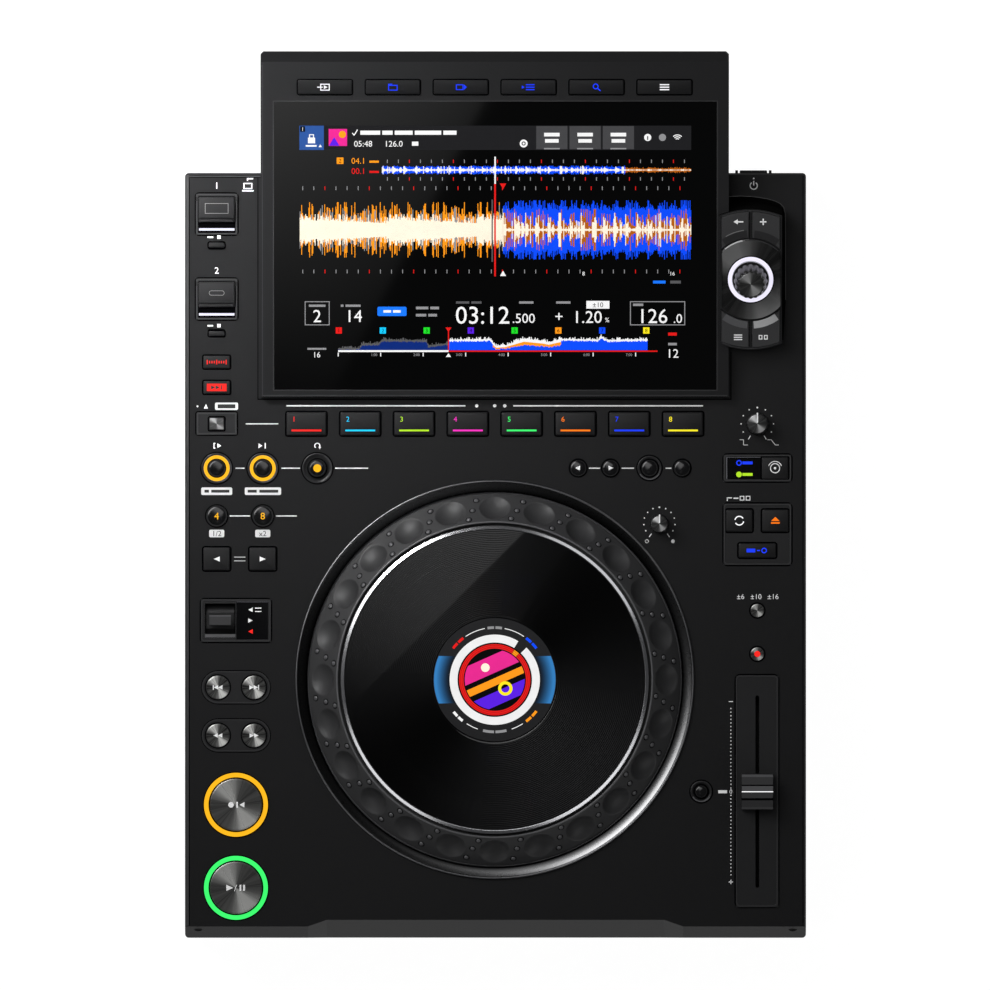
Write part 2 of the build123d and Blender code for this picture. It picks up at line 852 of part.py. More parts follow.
# Menu keys: six bars on one web that runs under the hood's top wall
menu_row = row(menu_key_count, menu_key_pitch, 0, menu_key_y * stretch)
with BuildPart() as menu_keys:
    with BuildSketch(hood_plane.offset(menu_proud)):
        with Locations(*menu_row):
            Rectangle(menu_key_size[0], menu_key_size[1] * stretch)
    extrude(amount=-menu_proud - hood_wall - fit_gap - flange_thickness)
    chamfer(menu_keys.faces().filter_by(hood_plane).group_by(Axis.Z)[-1].edges(), key_chamfer)
    with BuildSketch(hood_plane.offset(-hood_wall - fit_gap)):
        with Locations((0, menu_key_y * stretch)):
            Rectangle((menu_key_count - 1) * menu_key_pitch + menu_key_size[0], web_depth)
    extrude(amount=-flange_thickness)
save(menu_keys.part, "menu_keys")

# Inserts: framed plates that lie flush in the deck and carry their own keys, doors and windows
door_places = [(x, y + door_y) for x, y in usb_places]
bar_places = [(x, y + usb_bar_y) for x, y in usb_places]
well_low = deck_height - well_depth
well_size = covering(door_size, -door_ledge)
door_low = frame_top + seat_gap
hinge_z = door_low + door_barrel_radius
hinge_offset = door_size[1] / 2 - door_barrel_radius
door_ear = (usb_frame_size[0] - door_size[0]) / 2 - fit_gap
hinge_places = [
    (x + side * (usb_frame_size[0] - door_ear) / 2, y + hinge_offset)
    for x, y in door_places
    for side in (-1, 1)
]
pivot_z = deck_height - lever_pivot_drop
lever_centre_x = transport_x + lever_x
ear_inner = lever_width / 2 + fit_gap
mode_window = (right_x + mode_window_x, loop_y)
direction_window = (transport_x + window_x, direction_y)
with BuildPart() as deck_inserts:
    with BuildSketch(Plane.XY.offset(frame_low)):
        for place, size in plates:
            with Locations(place):
                outline(size)
        with Locations(*capsules):
            SlotOverall(*capsule_size)
    extrude(amount=frame_top - frame_low)
    with BuildSketch(Plane.XY.offset(well_low - well_floor)):
        with Locations(*door_places):
            Rectangle(usb_frame_size[0], well_size[1] + 2 * well_wall)
    extrude(amount=frame_low - well_low + well_floor)
    with BuildSketch(Plane.XY.offset(well_low)):
        with Locations(*door_places):
            Rectangle(*well_size)
    extrude(amount=frame_top - well_low, mode=Mode.SUBTRACT)
    with BuildSketch(Plane.XY.offset(well_low - well_floor)):
        with Locations(*door_places):
            Rectangle(*covering(usb_shell_size, seat_gap))
    extrude(amount=well_floor, mode=Mode.SUBTRACT)
    with BuildSketch(Plane.XY.offset(frame_top)):
        with Locations(*hinge_places):
            Rectangle(door_ear, door_ear_depth)
    extrude(amount=door_low + door_thickness - frame_top)
    with BuildSketch(Plane.YZ.offset(outer_x - door_size[0] / 2 - fit_gap - door_pin_length)):
        with Locations(*[(y + hinge_offset, hinge_z) for x, y in door_places]):
            Circle(door_pin_radius + running_gap)
    extrude(amount=door_size[0] + 2 * (fit_gap + door_pin_length), mode=Mode.SUBTRACT)
    with BuildSketch(Plane.XY.offset(frame_top)):
        with Locations(*bar_places):
            Rectangle(*covering(light_bar_size, seat_gap))
        for places, size, proud in insert_keys.values():
            with Locations(*places):
                outline(size, fit_gap)
        with Locations((lever_centre_x, direction_y)):
            Rectangle(*lever_well_size)
    extrude(amount=frame_low - frame_top, mode=Mode.SUBTRACT)
    with BuildSketch(Plane.XY.offset(frame_top)):
        with Locations(mode_window):
            Rectangle(*covering(mode_window_size, seat_gap))
        with Locations(direction_window):
            Rectangle(*covering(direction_window_size, seat_gap))
    extrude(amount=-window_thickness, mode=Mode.SUBTRACT)
    for side in (-1, 1):
        with BuildSketch(Plane.YZ.offset(lever_centre_x + side * ear_inner)):
            with Locations((direction_y, (pivot_z + frame_low) / 2)):
                Rectangle(2 * lever_hub_radius, frame_low - pivot_z)
            with Locations((direction_y, pivot_z)):
                Circle(lever_hub_radius)
                Circle(lever_pin_radius + running_gap, mode=Mode.SUBTRACT)
        extrude(amount=side * lever_ear)
save(deck_inserts.part, "deck_inserts")

# Light guides: rings round the keys, the selector's ring, the USB bars and the indicator windows
with BuildPart() as light_guides:
    with BuildSketch(Plane.XY.offset(deck_under - ring_drop)):
        for place, radii in light_rings:
            with Locations(place):
                Circle(radii[1])
                Circle(radii[0], mode=Mode.SUBTRACT)
    extrude(amount=wall + ring_drop + ring_proud)
    with BuildSketch(selector_plane.offset(selector_disc_rise - selector_ring_depth)):
        Circle(selector_ring_radii[1])
        Circle(selector_ring_radii[0], mode=Mode.SUBTRACT)
    extrude(amount=selector_ring_depth + ring_proud)
    with BuildSketch(Plane.XY.offset(frame_low)):
        with Locations(*bar_places):
            Rectangle(*light_bar_size)
    extrude(amount=frame_top - frame_low)
    with BuildSketch(Plane.XY.offset(frame_top - window_thickness)):
        with Locations(mode_window):
            Rectangle(*mode_window_size)
        with Locations(direction_window):
            Rectangle(*direction_window_size)
    extrude(amount=window_thickness)
save(light_guides.part, "light_guides")

# USB doors: a flap on the rim of its well, with a hinge barrel along its rear edge and a lip at its front
for number, (x, y) in enumerate(door_places, 1):
    with BuildPart() as usb_door:
        with BuildSketch(Plane.YZ.offset(x - door_size[0] / 2)):
            with Locations((y + hinge_offset, hinge_z)):
                Circle(door_barrel_radius)
            with Locations((y - door_barrel_radius / 2, door_low + door_thickness / 2)):
                Rectangle(door_size[1] - door_barrel_radius, door_thickness)
            with Locations((y - door_size[1] / 2 + door_lip / 2, door_low + door_thickness)):
                Rectangle(door_lip, 2 * door_lip_rise)
        extrude(amount=door_size[0])
        with BuildSketch(Plane.YZ.offset(x - door_size[0] / 2 - door_pin_length)):
            with Locations((y + hinge_offset, hinge_z)):
                Circle(door_pin_radius)
        extrude(amount=door_size[0] + 2 * door_pin_length)
    save(usb_door.part, f"usb_door_{number}")

# Keys of the deck and of the inserts: caps with a flange below, or a row of caps on one web
for name, (places, size, proud) in (deck_keys | insert_keys).items():
    with BuildPart() as key:
        with BuildSketch(Plane.XY.offset(flange_low)):
            with Locations(*places):
                outline(size)
        extrude(amount=deck_height + proud - flange_low)
        if proud > key_proud:
            chamfer(key.faces().group_by(Axis.Z)[-1].edges(), key_chamfer)
        with BuildSketch(Plane.XY.offset(flange_low)):
            with Locations(*places):
                Rectangle(*covering(size, flange_width))
            with Locations(((places[0][0] + places[-1][0]) / 2, places[0][1])):
                Rectangle(places[-1][0] - places[0][0] + web_depth, web_depth)
        extrude(amount=flange_thickness)
    save(key.part, name)

with BuildPart() as usb_stop_keys:
    with BuildSketch(Plane.XY.offset(flange_low)):
        with Locations(*stop_places):
            outline(stop_key_size)
    extrude(amount=deck_height + key_proud - flange_low)
    with BuildSketch(Plane.XY.offset(flange_low)):
        with Locations(*stop_places):
            Rectangle(*covering(stop_key_size, flange_width))
    extrude(amount=flange_thickness)
save(usb_stop_keys.part, "usb_stop_keys")

# Selector: two pairs of keys bowed round its disc, and the many-sided knob on its spindle
for name, end in (("browse_keys_rear", 1), ("browse_keys_front", -1)):
    with BuildPart() as browse_keys:
        with BuildSketch(selector_plane.offset(key_proud)):
            add(browse_key_face(end))
        extrude(amount=-key_proud - browse_skirt)
        chamfer(browse_keys.faces().filter_by(selector_plane).group_by(Axis.Z)[-1].edges(), key_chamfer)
        with BuildSketch(selector_plane.offset(-browse_skirt)):
            add(browse_key_face(end, -tower_wall))
        extrude(amount=hood_flange - flange_thickness + browse_skirt)
        with BuildSketch(selector_plane.offset(hood_flange)):
            with Locations((0, end * browse_web_y)):
                Rectangle(selector_frame_size[0] - 2 * browse_rim - 2 * tower_wall, web_depth)
        extrude(amount=-flange_thickness)
    save(browse_keys.part, name)

knob_low = selector_disc_rise + selector_knob_lift
with BuildPart() as selector_shaft:
    with BuildSketch(selector_plane.offset(knob_low + selector_knob_height - wall)):
        Circle(selector_shaft_radius)
    extrude(amount=hood_flange - flange_thickness - knob_low - selector_knob_height + wall)
    with BuildSketch(selector_plane.offset(hood_flange)):
        Circle(selector_shaft_radius + flange_width)
    extrude(amount=-flange_thickness)
save(selector_shaft.part, "selector_shaft")

with BuildPart() as selector_knob:
    with BuildSketch(selector_plane.offset(knob_low)):
        RegularPolygon(selector_knob_radius, selector_sides)
    with BuildSketch(selector_plane.offset(knob_low + selector_knob_height)):
        RegularPolygon(selector_knob_top_radius, selector_sides)
    loft()
    with BuildSketch(selector_plane.offset(knob_low)):
        Circle(selector_shaft_radius + running_gap)
    extrude(amount=selector_knob_height - wall + selector_play, mode=Mode.SUBTRACT)
save(selector_knob.part, "selector_knob")

# Small knobs with a many-sided grip
for name, (place, radius) in knobs.items():
    with BuildPart() as knob:
        with BuildSketch(Plane.XY.offset(deck_height + knob_lift)):
            with Locations(place):
                RegularPolygon(radius, knob_sides)
        extrude(amount=knob_height)
        chamfer(knob.faces().sort_by(Axis.Z)[-1].edges(), key_chamfer)
        with BuildSketch(Plane.XY.offset(board_top + pot_height + fit_gap)):
            with Locations(place):
                Circle(knob_shaft_radius)
        extrude(amount=deck_height + knob_lift - board_top - pot_height - fit_gap)
    save(knob.part, name)

# Direction lever: a grip on a curved shutter that turns on a pin under the deck
with BuildPart() as direction_lever:
    with BuildSketch(Plane.YZ.offset(lever_centre_x - lever_width / 2)):
        with BuildLine():
            pivot = (direction_y, pivot_z)
            start = 90 - lever_shutter_angle
            outer_arc = CenterArc(pivot, lever_shutter_radius, start, 2 * lever_shutter_angle)
            inner_radius = lever_shutter_radius - lever_shutter_thickness
            inner_arc = CenterArc(pivot, inner_radius, start, 2 * lever_shutter_angle)
            Line(outer_arc @ 0, inner_arc @ 0)
            Line(outer_arc @ 1, inner_arc @ 1)
        make_face()
        with Locations((direction_y, pivot_z + inner_radius / 2)):
            Rectangle(lever_stem, inner_radius + lever_shutter_thickness / 2)
        with Locations(pivot):
            Circle(lever_hub_radius)
        with Locations((direction_y, pivot_z + inner_radius + lever_shutter_thickness / 2)):
            Rectangle(lever_shoe_depth, lever_shutter_thickness + 2 * lever_shoe_rise)
    extrude(amount=lever_width)
    grip_low = pivot_z + inner_radius + lever_shutter_thickness / 2
    with BuildSketch(Plane.XY.offset(grip_low)):
        with Locations((lever_centre_x, direction_y)):
            Rectangle(*lever_grip_size)
    extrude(amount=lever_grip_height, taper=lever_grip_taper)
    with BuildSketch(Plane.YZ.offset(lever_centre_x - ear_inner - lever_ear)):
        with Locations(pivot):
            Circle(lever_pin_radius)
    extrude(amount=2 * (ear_inner + lever_ear))
save(direction_lever.part, "direction_lever")

# Tempo fader: a slotted plate over the fader's own case, and a stepped cap on its stem
plate_top = deck_height + fader_plate_proud
plate_low = deck_height - groove_depth
with BuildPart() as tempo_fader:
    with BuildSketch(Plane.XY.offset(plate_low)):
        with Locations((right_x, fader_y)):
            Rectangle(*fader_plate_size)
            slot_run = fader_slot[1] - fader_slot[0]
            SlotCenterToCenter(slot_run, fader_slot[0], rotation=90, mode=Mode.SUBTRACT)
    extrude(amount=plate_top - plate_low)
    with BuildSketch(Plane.XY.offset(deck_under - fader_unit_height)):
        with Locations((right_x, fader_y)):
            Rectangle(*fader_unit_size)
    extrude(amount=fader_unit_height)
    with BuildSketch(Plane.XY.offset(deck_under - fader_unit_height + wall)):
        with Locations((right_x, fader_y)):
            Rectangle(fader_unit_size[0] - 2 * wall, fader_slot[1] + 2 * wall)
    extrude(amount=fader_unit_height - wall, mode=Mode.SUBTRACT)
save(tempo_fader.part, "tempo_fader")

with BuildPart() as tempo_slider:
    cap_low = plate_top + fader_cap_lift
    with BuildSketch(Plane.YZ.offset(right_x - fader_cap_width / 2)):
        step_low = cap_low
        for half_depth, rise in fader_cap_steps:
            with Locations((fader_y, (step_low + cap_low + rise) / 2)):
                Rectangle(2 * half_depth, cap_low + rise - step_low)
            step_low = cap_low + rise
    extrude(amount=fader_cap_width)
    with BuildSketch(Plane.XY.offset(deck_under - fader_carriage_drop)):
        with Locations((right_x, fader_y)):
            Rectangle(*fader_stem)
    extrude(amount=cap_low - deck_under + fader_carriage_drop)
    with BuildSketch(Plane.XY.offset(deck_under - fader_carriage_drop)):
        with Locations((right_x, fader_y)):
            Rectangle(*fader_carriage_size)
    extrude(amount=fader_carriage_height)
save(tempo_slider.part, "tempo_slider")

# Jog bezel: a bowl-lipped ring on the deck, whose skirt carries the dish under the wheel
bezel_top = deck_height + jog_bezel_rise
bowl_radius = jog_dial_radius + jog_inner_gap
dish_top = jog_dish_low + dish_floor
with BuildPart() as jog_bezel:
    with BuildSketch(jog_section):
        with BuildLine():
            Polyline(
                (bowl_radius, jog_bowl_foot),
                (bowl_radius, dish_top),
                (jog_post_radius - jog_post_wall, dish_top),
                (jog_post_radius - jog_post_wall, jog_dish_low),
                (jog_skirt_radius, jog_dish_low),
                (jog_skirt_radius, deck_height),
                (jog_bezel_radius, deck_height),
                (jog_bezel_radius, bezel_top - edge_bevel),
                (jog_bezel_radius - edge_bevel / 2, bezel_top),
                (jog_bezel_radius - jog_bezel_lip, bezel_top),
                (bowl_radius + jog_bowl_step, bezel_top - 2 * jog_bowl_step),
                close=True,
            )
        make_face()
    revolve(axis=jog_axis)
save(jog_bezel.part, "jog_bezel")

# Jog post: the fixed tube that the wheel turns on, with a thrust washer at its foot
with BuildPart() as jog_post:
    with BuildSketch(jog_section):
        with BuildLine():
            Polyline(
                (jog_post_radius - jog_post_wall, dish_top),
                (jog_washer_radius, dish_top),
                (jog_washer_radius, jog_dial_low - thrust_gap),
                (jog_post_radius, jog_dial_low - thrust_gap),
                (jog_post_radius, jog_display_low),
                (jog_post_radius - jog_post_wall, jog_display_low),
                close=True,
            )
        make_face()
    revolve(axis=jog_axis)
save(jog_post.part, "jog_post")

# Jog dial: the rim with its ring of finger dimples, the web under the platter, and the hub
dial_slope = atan2(jog_height - jog_dial_foot, jog_dial_radius - jog_dial_top_radius)
core_top = jog_display_low - jog_display_gap - jog_web_thickness / 2
with BuildPart() as jog_dial:
    with BuildSketch(jog_section):
        with BuildLine():
            Polyline(
                (jog_dial_radius, jog_dial_low),
                (jog_dial_radius, jog_dial_foot),
                (jog_dial_top_radius, jog_height),
                (jog_groove_radius, jog_height),
                (jog_groove_radius, jog_web_height),
                (jog_core_radius, jog_web_height),
                (jog_core_radius, core_top),
                (jog_post_radius + running_gap, core_top),
                (jog_post_radius + running_gap, jog_dial_low),
                (jog_hub_radius, jog_dial_low),
                (jog_hub_radius, core_top - jog_web_thickness),
                (jog_groove_radius - jog_web_thickness, core_top - jog_web_thickness),
                (jog_dial_radius - jog_skirt_wall, jog_dial_foot - jog_web_thickness),
                (jog_dial_radius - jog_skirt_wall, jog_dial_low),
                close=True,
            )
        make_face()
    revolve(axis=jog_axis)
    surface_z = jog_dial_foot + (jog_dial_radius - dimple_orbit) * tan(dial_slope)
    ball_radius = (dimple_radius**2 + dimple_depth**2) / (2 * dimple_depth)
    ball_reach = ball_radius - dimple_depth
    with Locations((jog_x, jog_y, surface_z + ball_reach * cos(dial_slope))):
        with PolarLocations(dimple_orbit + ball_reach * sin(dial_slope), dimple_count):
            Sphere(ball_radius, mode=Mode.SUBTRACT)
save(jog_dial.part, "jog_dial")

# Jog platter: the top plate, with the polished ring that rims it
platter_top = jog_height - jog_display_sink
with BuildPart() as jog_platter:
    with BuildSketch(jog_section):
        with BuildLine():
            Polyline(
                (jog_display_radius + jog_display_gap, jog_web_height),
                (jog_platter_radius, jog_web_height),
                (jog_platter_radius, platter_top + jog_ring_rise),
                (jog_platter_radius - jog_ring_width, platter_top + jog_ring_rise),
                (jog_platter_radius - jog_ring_width, platter_top),
                (jog_display_radius + jog_display_gap, platter_top),
                close=True,
            )
        make_face()
    revolve(axis=jog_axis)
save(jog_platter.part, "jog_platter")

# Jog display: a round module fixed on the post
with BuildPart() as jog_display:
    with BuildSketch(Plane.XY.offset(jog_display_low)):
        with Locations((jog_x, jog_y)):
            Circle(jog_display_radius)
    extrude(amount=platter_top - jog_display_low)
    chamfer(jog_display.edges().group_by(Axis.Z)[-1], key_chamfer)
save(jog_display.part, "jog_display")

# Rear panel: the plate inside the rear window, with a hole for each socket
panel_rear = cabinet_rear - wall
panel_width = 2 * half_width - rear_window_left - rear_window_right + 2 * panel_margin
panel_height = deck_height - split_height - rear_window_low - rear_window_high
panel_x = (rear_window_left - rear_window_right) / 2
with BuildPart() as rear_panel:
    with BuildSketch(Plane.XZ.offset(-panel_rear)):
        with Locations((panel_x, (split_height + deck_height) / 2)):
            Rectangle(panel_width, panel_height + panel_margin)
        with Locations((inlet_x, socket_height)):
            Rectangle(*covering(inlet_size, seat_gap), mode=Mode.SUBTRACT)
        with Locations((network_x, socket_height)):
            Rectangle(*covering(network_size, seat_gap), mode=Mode.SUBTRACT)
        with Locations((data_x, socket_height)):
            Rectangle(*covering(data_size, seat_gap), mode=Mode.SUBTRACT)
        with Locations(*[(x, socket_height) for x in audio_jack_x]):
            Circle(audio_jack_radius + seat_gap, mode=Mode.SUBTRACT)
    extrude(amount=panel_thickness)
save(rear_panel.part, "rear_panel")

# Sockets: the USB shells with their tongues in the wells, and on the rear panel the mains inlet,
# the network and data sockets and three phono jacks
shell_low = well_low + usb_shell_proud - usb_shell_height
with BuildPart() as sockets:
    with BuildSketch(Plane.XY.offset(shell_low)):
        with Locations(*door_places):
            Rectangle(*usb_shell_size)
    extrude(amount=usb_shell_height)
    with BuildSketch(Plane.XY.offset(shell_low + usb_shell_proud)):
        with Locations(*door_places):
            Rectangle(*covering(usb_shell_size, -usb_shell_wall))
    extrude(amount=usb_shell_height, mode=Mode.SUBTRACT)
    with BuildSketch(Plane.XY.offset(shell_low + usb_shell_proud)):
        with Locations(*[(x, y + usb_tongue_shift) for x, y in door_places]):
            Rectangle(*usb_tongue_size)
    extrude(amount=usb_shell_height - 2 * usb_shell_proud)
    with BuildSketch(Plane.XZ.offset(-panel_rear - inlet_flange)):
        with Locations((inlet_x, socket_height)):
            Rectangle(*covering(inlet_size, inlet_flange))
    extrude(amount=inlet_flange)
    with BuildSketch(Plane.XZ.offset(-panel_rear)):
        with Locations((inlet_x, socket_height)):
            Rectangle(*inlet_size)
    extrude(amount=inlet_depth)
    with BuildSketch(Plane.XZ.offset(-panel_rear - inlet_flange)):
        with Locations((inlet_x, socket_height)):
            Rectangle(*inlet_cavity)
    extrude(amount=inlet_cavity_depth, mode=Mode.SUBTRACT)
    with BuildSketch(Plane.XZ.offset(-panel_rear - inlet_flange + inlet_cavity_depth)):
        with Locations(
            (inlet_x, socket_height + inlet_pin_rise),
            (inlet_x - inlet_pin_pitch / 2, socket_height - inlet_pin_rise),
            (inlet_x + inlet_pin_pitch / 2, socket_height - inlet_pin_rise),
        ):
            Rectangle(*inlet_pin)
    extrude(amount=-inlet_pin_length)
    for x, size, cavity in ((network_x, network_size, network_cavity), (data_x, data_size, data_cavity)):
        with BuildSketch(Plane.XZ.offset(-cabinet_rear)):
            with Locations((x, socket_height)):
                Rectangle(*size)
        extrude(amount=network_depth)
        with BuildSketch(Plane.XZ.offset(-cabinet_rear)):
            with Locations((x, socket_height)):
                Rectangle(*cavity)
        extrude(amount=network_depth - wall, mode=Mode.SUBTRACT)
    with BuildSketch(Plane.XZ.offset(wall - cabinet_rear)):
        with Locations((data_x, socket_height)):
            Rectangle(*data_tongue)
    extrude(amount=network_depth - wall)
    with BuildSketch(Plane.XZ.offset(-panel_rear)):
        with Locations(*[(x, socket_height) for x in audio_jack_x]):
            Circle(audio_jack_radius)
    extrude(amount=network_depth)
    with BuildSketch(Plane.XZ.offset(-panel_rear)):
        with Locations(*[(x, socket_height) for x in audio_jack_x]):
            RegularPolygon(audio_jack_flange, 6)
    extrude(amount=-inlet_flange)
    with BuildSketch(Plane.XZ.offset(-panel_rear - audio_jack_length)):
        with Locations(*[(x, socket_height) for x in audio_jack_x]):
            Circle(audio_jack_radius)
    extrude(amount=audio_jack_length)
    with BuildSketch(Plane.XZ.offset(-panel_rear - audio_jack_length)):
        with Locations(*[(x, socket_height) for x in audio_jack_x]):
            Circle(audio_jack_bore)
    extrude(amount=audio_jack_length, mode=Mode.SUBTRACT)
save(sockets.part, "sockets")

# Power key, between its two guard ribs on the rear wall
with BuildPart() as power_key:
    with BuildSketch(Plane.XZ.offset(-cabinet_rear - power_proud)):
        with Locations((power_x, power_z)):
            Rectangle(*power_key_size)
    extrude(amount=power_depth)
    chamfer(power_key.faces().sort_by(Axis.Y)[-1].edges(), key_chamfer)
    with BuildSketch(Plane.XZ.offset(fit_gap - panel_rear)):
        with Locations((power_x, power_z)):
            Rectangle(*covering(power_key_size, flange_width))
    extrude(amount=flange_thickness)
save(power_key.part, "power_key")

# Circuit boards: the main board on the tray, and the key boards with a switch under each key
lever_gap = (2 * (ear_inner + lever_ear + fit_gap), 2 * lever_shutter_radius)
key_places = [place for places, size, proud in (deck_keys | insert_keys).values() for place in places]
travel_gap = key_travel + fit_gap
standoff_reach = (main_board_size[0] / 2 - standoff_inset, main_board_size[1] / 2 - standoff_inset)
standoffs = [
    (main_board_x + i * standoff_reach[0], main_board_y + j * standoff_reach[1])
    for i in (-1, 1)
    for j in (-1, 1)
]
board_low = foot_height + wall + main_board_standoff
with BuildPart() as circuit_boards:
    with BuildSketch(Plane.XY.offset(board_top - board_thickness)):
        for place, size in boards:
            with Locations(place):
                Rectangle(*size)
        with Locations((lever_centre_x, direction_y)):
            Rectangle(*lever_gap, mode=Mode.SUBTRACT)
    extrude(amount=board_thickness)
    with BuildSketch(Plane.XY.offset(board_top)):
        with Locations(*key_places):
            Rectangle(switch_size, switch_size)
    extrude(amount=flange_low - travel_gap - board_top)
    with BuildSketch(selector_plane.offset(tower_board)):
        Rectangle(*tower_board_size)
    extrude(amount=-board_thickness)
    with BuildSketch(selector_plane.offset(tower_board)):
        with GridLocations(2 * browse_switch_x, 2 * browse_web_y, 2, 2):
            Rectangle(switch_size, switch_size)
        Rectangle(switch_size, switch_size)
    extrude(amount=board_drop - travel_gap)
    with BuildSketch(Plane.XY.offset(board_top)):
        with Locations(*knob_places):
            Rectangle(pot_size, pot_size)
    extrude(amount=pot_height)
    with BuildSketch(Plane.XY.offset(foot_height + wall)):
        with Locations(*standoffs):
            Rectangle(standoff_size, standoff_size)
    extrude(amount=main_board_standoff)
    with BuildSketch(Plane.XY.offset(board_low)):
        with Locations((main_board_x, main_board_y)):
            Rectangle(*main_board_size)
    extrude(amount=board_thickness)
    with BuildSketch(Plane.XY.offset(board_low + board_thickness)):
        with Locations((main_board_x, main_board_y)):
            with GridLocations(2 * chip_size[0], 2 * chip_size[1], 2, 2):
                Rectangle(*chip_size)
    extrude(amount=chip_height)
save(circuit_boards.part, "circuit_boards")

# Power supply: a vented box on the tray, beside the mains inlet
with BuildPart() as power_supply:
    with BuildSketch(Plane.XY.offset(foot_height + wall)):
        with Locations((supply_x, supply_y)):
            Rectangle(*supply_size)
    extrude(amount=supply_height)
    with BuildSketch(Plane.XY.offset(foot_height + wall + supply_height)):
        with Locations((supply_x, supply_y)):
            with GridLocations(supply_vent_pitch, 0, supply_vent_count, 1):
                Rectangle(*supply_vent_size)
    extrude(amount=-supply_vent_depth, mode=Mode.SUBTRACT)
save(power_supply.part, "power_supply")
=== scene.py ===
import bpy
import random
from math import asin, cos, hypot, pi, radians, sin, sqrt
from mathutils import Matrix, Vector


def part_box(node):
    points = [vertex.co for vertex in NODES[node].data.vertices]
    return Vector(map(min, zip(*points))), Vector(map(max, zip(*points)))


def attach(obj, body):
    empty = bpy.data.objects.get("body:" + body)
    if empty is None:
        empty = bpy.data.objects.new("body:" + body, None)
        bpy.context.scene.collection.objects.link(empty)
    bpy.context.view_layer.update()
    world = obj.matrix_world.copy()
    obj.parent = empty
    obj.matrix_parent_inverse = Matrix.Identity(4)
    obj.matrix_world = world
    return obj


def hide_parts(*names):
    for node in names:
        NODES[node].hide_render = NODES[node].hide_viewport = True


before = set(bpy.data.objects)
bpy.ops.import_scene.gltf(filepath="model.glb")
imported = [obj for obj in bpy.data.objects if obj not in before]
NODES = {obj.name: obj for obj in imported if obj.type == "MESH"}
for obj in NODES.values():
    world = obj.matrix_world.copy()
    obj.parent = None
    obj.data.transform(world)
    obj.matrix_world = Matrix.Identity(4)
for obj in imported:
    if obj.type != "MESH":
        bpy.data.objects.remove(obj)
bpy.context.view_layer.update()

# Lengths in this script are in millimetres, and become metres when a mesh or a material is made.
MM = 0.001
random.seed(7)


# ---- places read from the model
def top(name):
    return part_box(name)[1].z / MM


def centre(name):
    low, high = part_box(name)
    return (low.x + high.x) / 2 / MM, (low.y + high.y) / 2 / MM


JOG = centre("jog_display")
GROOVE_PITCH = 0.96  # of the platter
DECK = top("top_cabinet")
PLATE = DECK + 0.3  # the tops of the deck's inserts
SX, SY = 135, 114  # the selector's middle
TILT = Vector((0, -0.1822, 0.98326))  # square to the hood's face
HOOD_FRONT, HOOD_Z, HOOD_RISE = 51.9, 85.2, 0.18531
SQUARE = 1.017  # height that one mm square to the hood's face gains
TOWER = 2  # how far the tower stands above the hood's face


def hood(x, y):
    return HOOD_Z + (y - HOOD_FRONT) * HOOD_RISE


def tower(rise):
    """The selector's plane, rise mm above the tower's top, as a height at (x, y)."""
    return lambda x, y: hood(x, y) + (TOWER + rise) * SQUARE


# ---- materials
def srgb(*rgb):
    """An 8-bit screen colour as linear RGBA."""
    return tuple(c / 255 / 12.92 if c <= 10 else ((c / 255 + 0.055) / 1.055) ** 2.4 for c in rgb) + (1,)


def shade(c, k):
    return tuple(min(1, v * k) for v in c[:3]) + (1,)


def feed(tree, n, inputs):
    """Gives inputs of a node a socket to link, or a value to hold."""
    for key, value in inputs.items():
        if isinstance(value, bpy.types.NodeSocket):
            tree.links.new(value, n.inputs[key])
        else:
            n.inputs[key].default_value = value


def node(tree, kind, inputs, **settings):
    """The outputs of a new shader node."""
    n = tree.nodes.new("ShaderNode" + kind)
    for key, value in settings.items():
        setattr(n, key, value)
    feed(tree, n, inputs)
    return n.outputs


def blank(name, inputs):
    m = bpy.data.materials.new(name)
    m.use_nodes = True
    t = m.node_tree
    b = t.nodes["Principled BSDF"]
    feed(t, b, inputs)
    return m, t, b, node(t, "TexCoord", {})["Object"]


def noise(t, where, scale, detail=3):
    return node(t, "TexNoise", {"Vector": where, "Scale": scale, "Detail": detail})["Fac"]


def mix(t, factor, low, high):
    return node(t, "Mix", {0: factor, 6: low, 7: high}, data_type="RGBA")[2]


def maths(t, operation, *values, clamp=False):
    return node(t, "Math", dict(enumerate(values)), operation=operation, use_clamp=clamp)[0]


def span(t, value, low, high, start=0, end=1):
    """A socket's run from start to end, as a run from low to high."""
    return node(t, "MapRange", {0: value, 1: start, 2: end, 3: low, 4: high})[0]


def ripple(t, value, times, shift):
    """A cosine along a socket, between 0 and 1."""
    return maths(t, "MULTIPLY_ADD", maths(t, "COSINE", maths(t, "MULTIPLY_ADD", value, times, shift)), 0.5, 0.5)


def about(t, where, middle):
    """A point's distance from middle in plan, in metres, and its angle round it."""
    off = node(t, "VectorMath", {0: where, 1: (middle[0] * MM, middle[1] * MM, 0)}, operation="SUBTRACT")[0]
    flat = node(t, "VectorMath", {0: off, 1: (1, 1, 0)}, operation="MULTIPLY")[0]
    part = node(t, "SeparateXYZ", {0: off})
    return node(t, "VectorMath", {0: flat}, operation="LENGTH")["Value"], maths(t, "ARCTAN2", part[1], part[0])


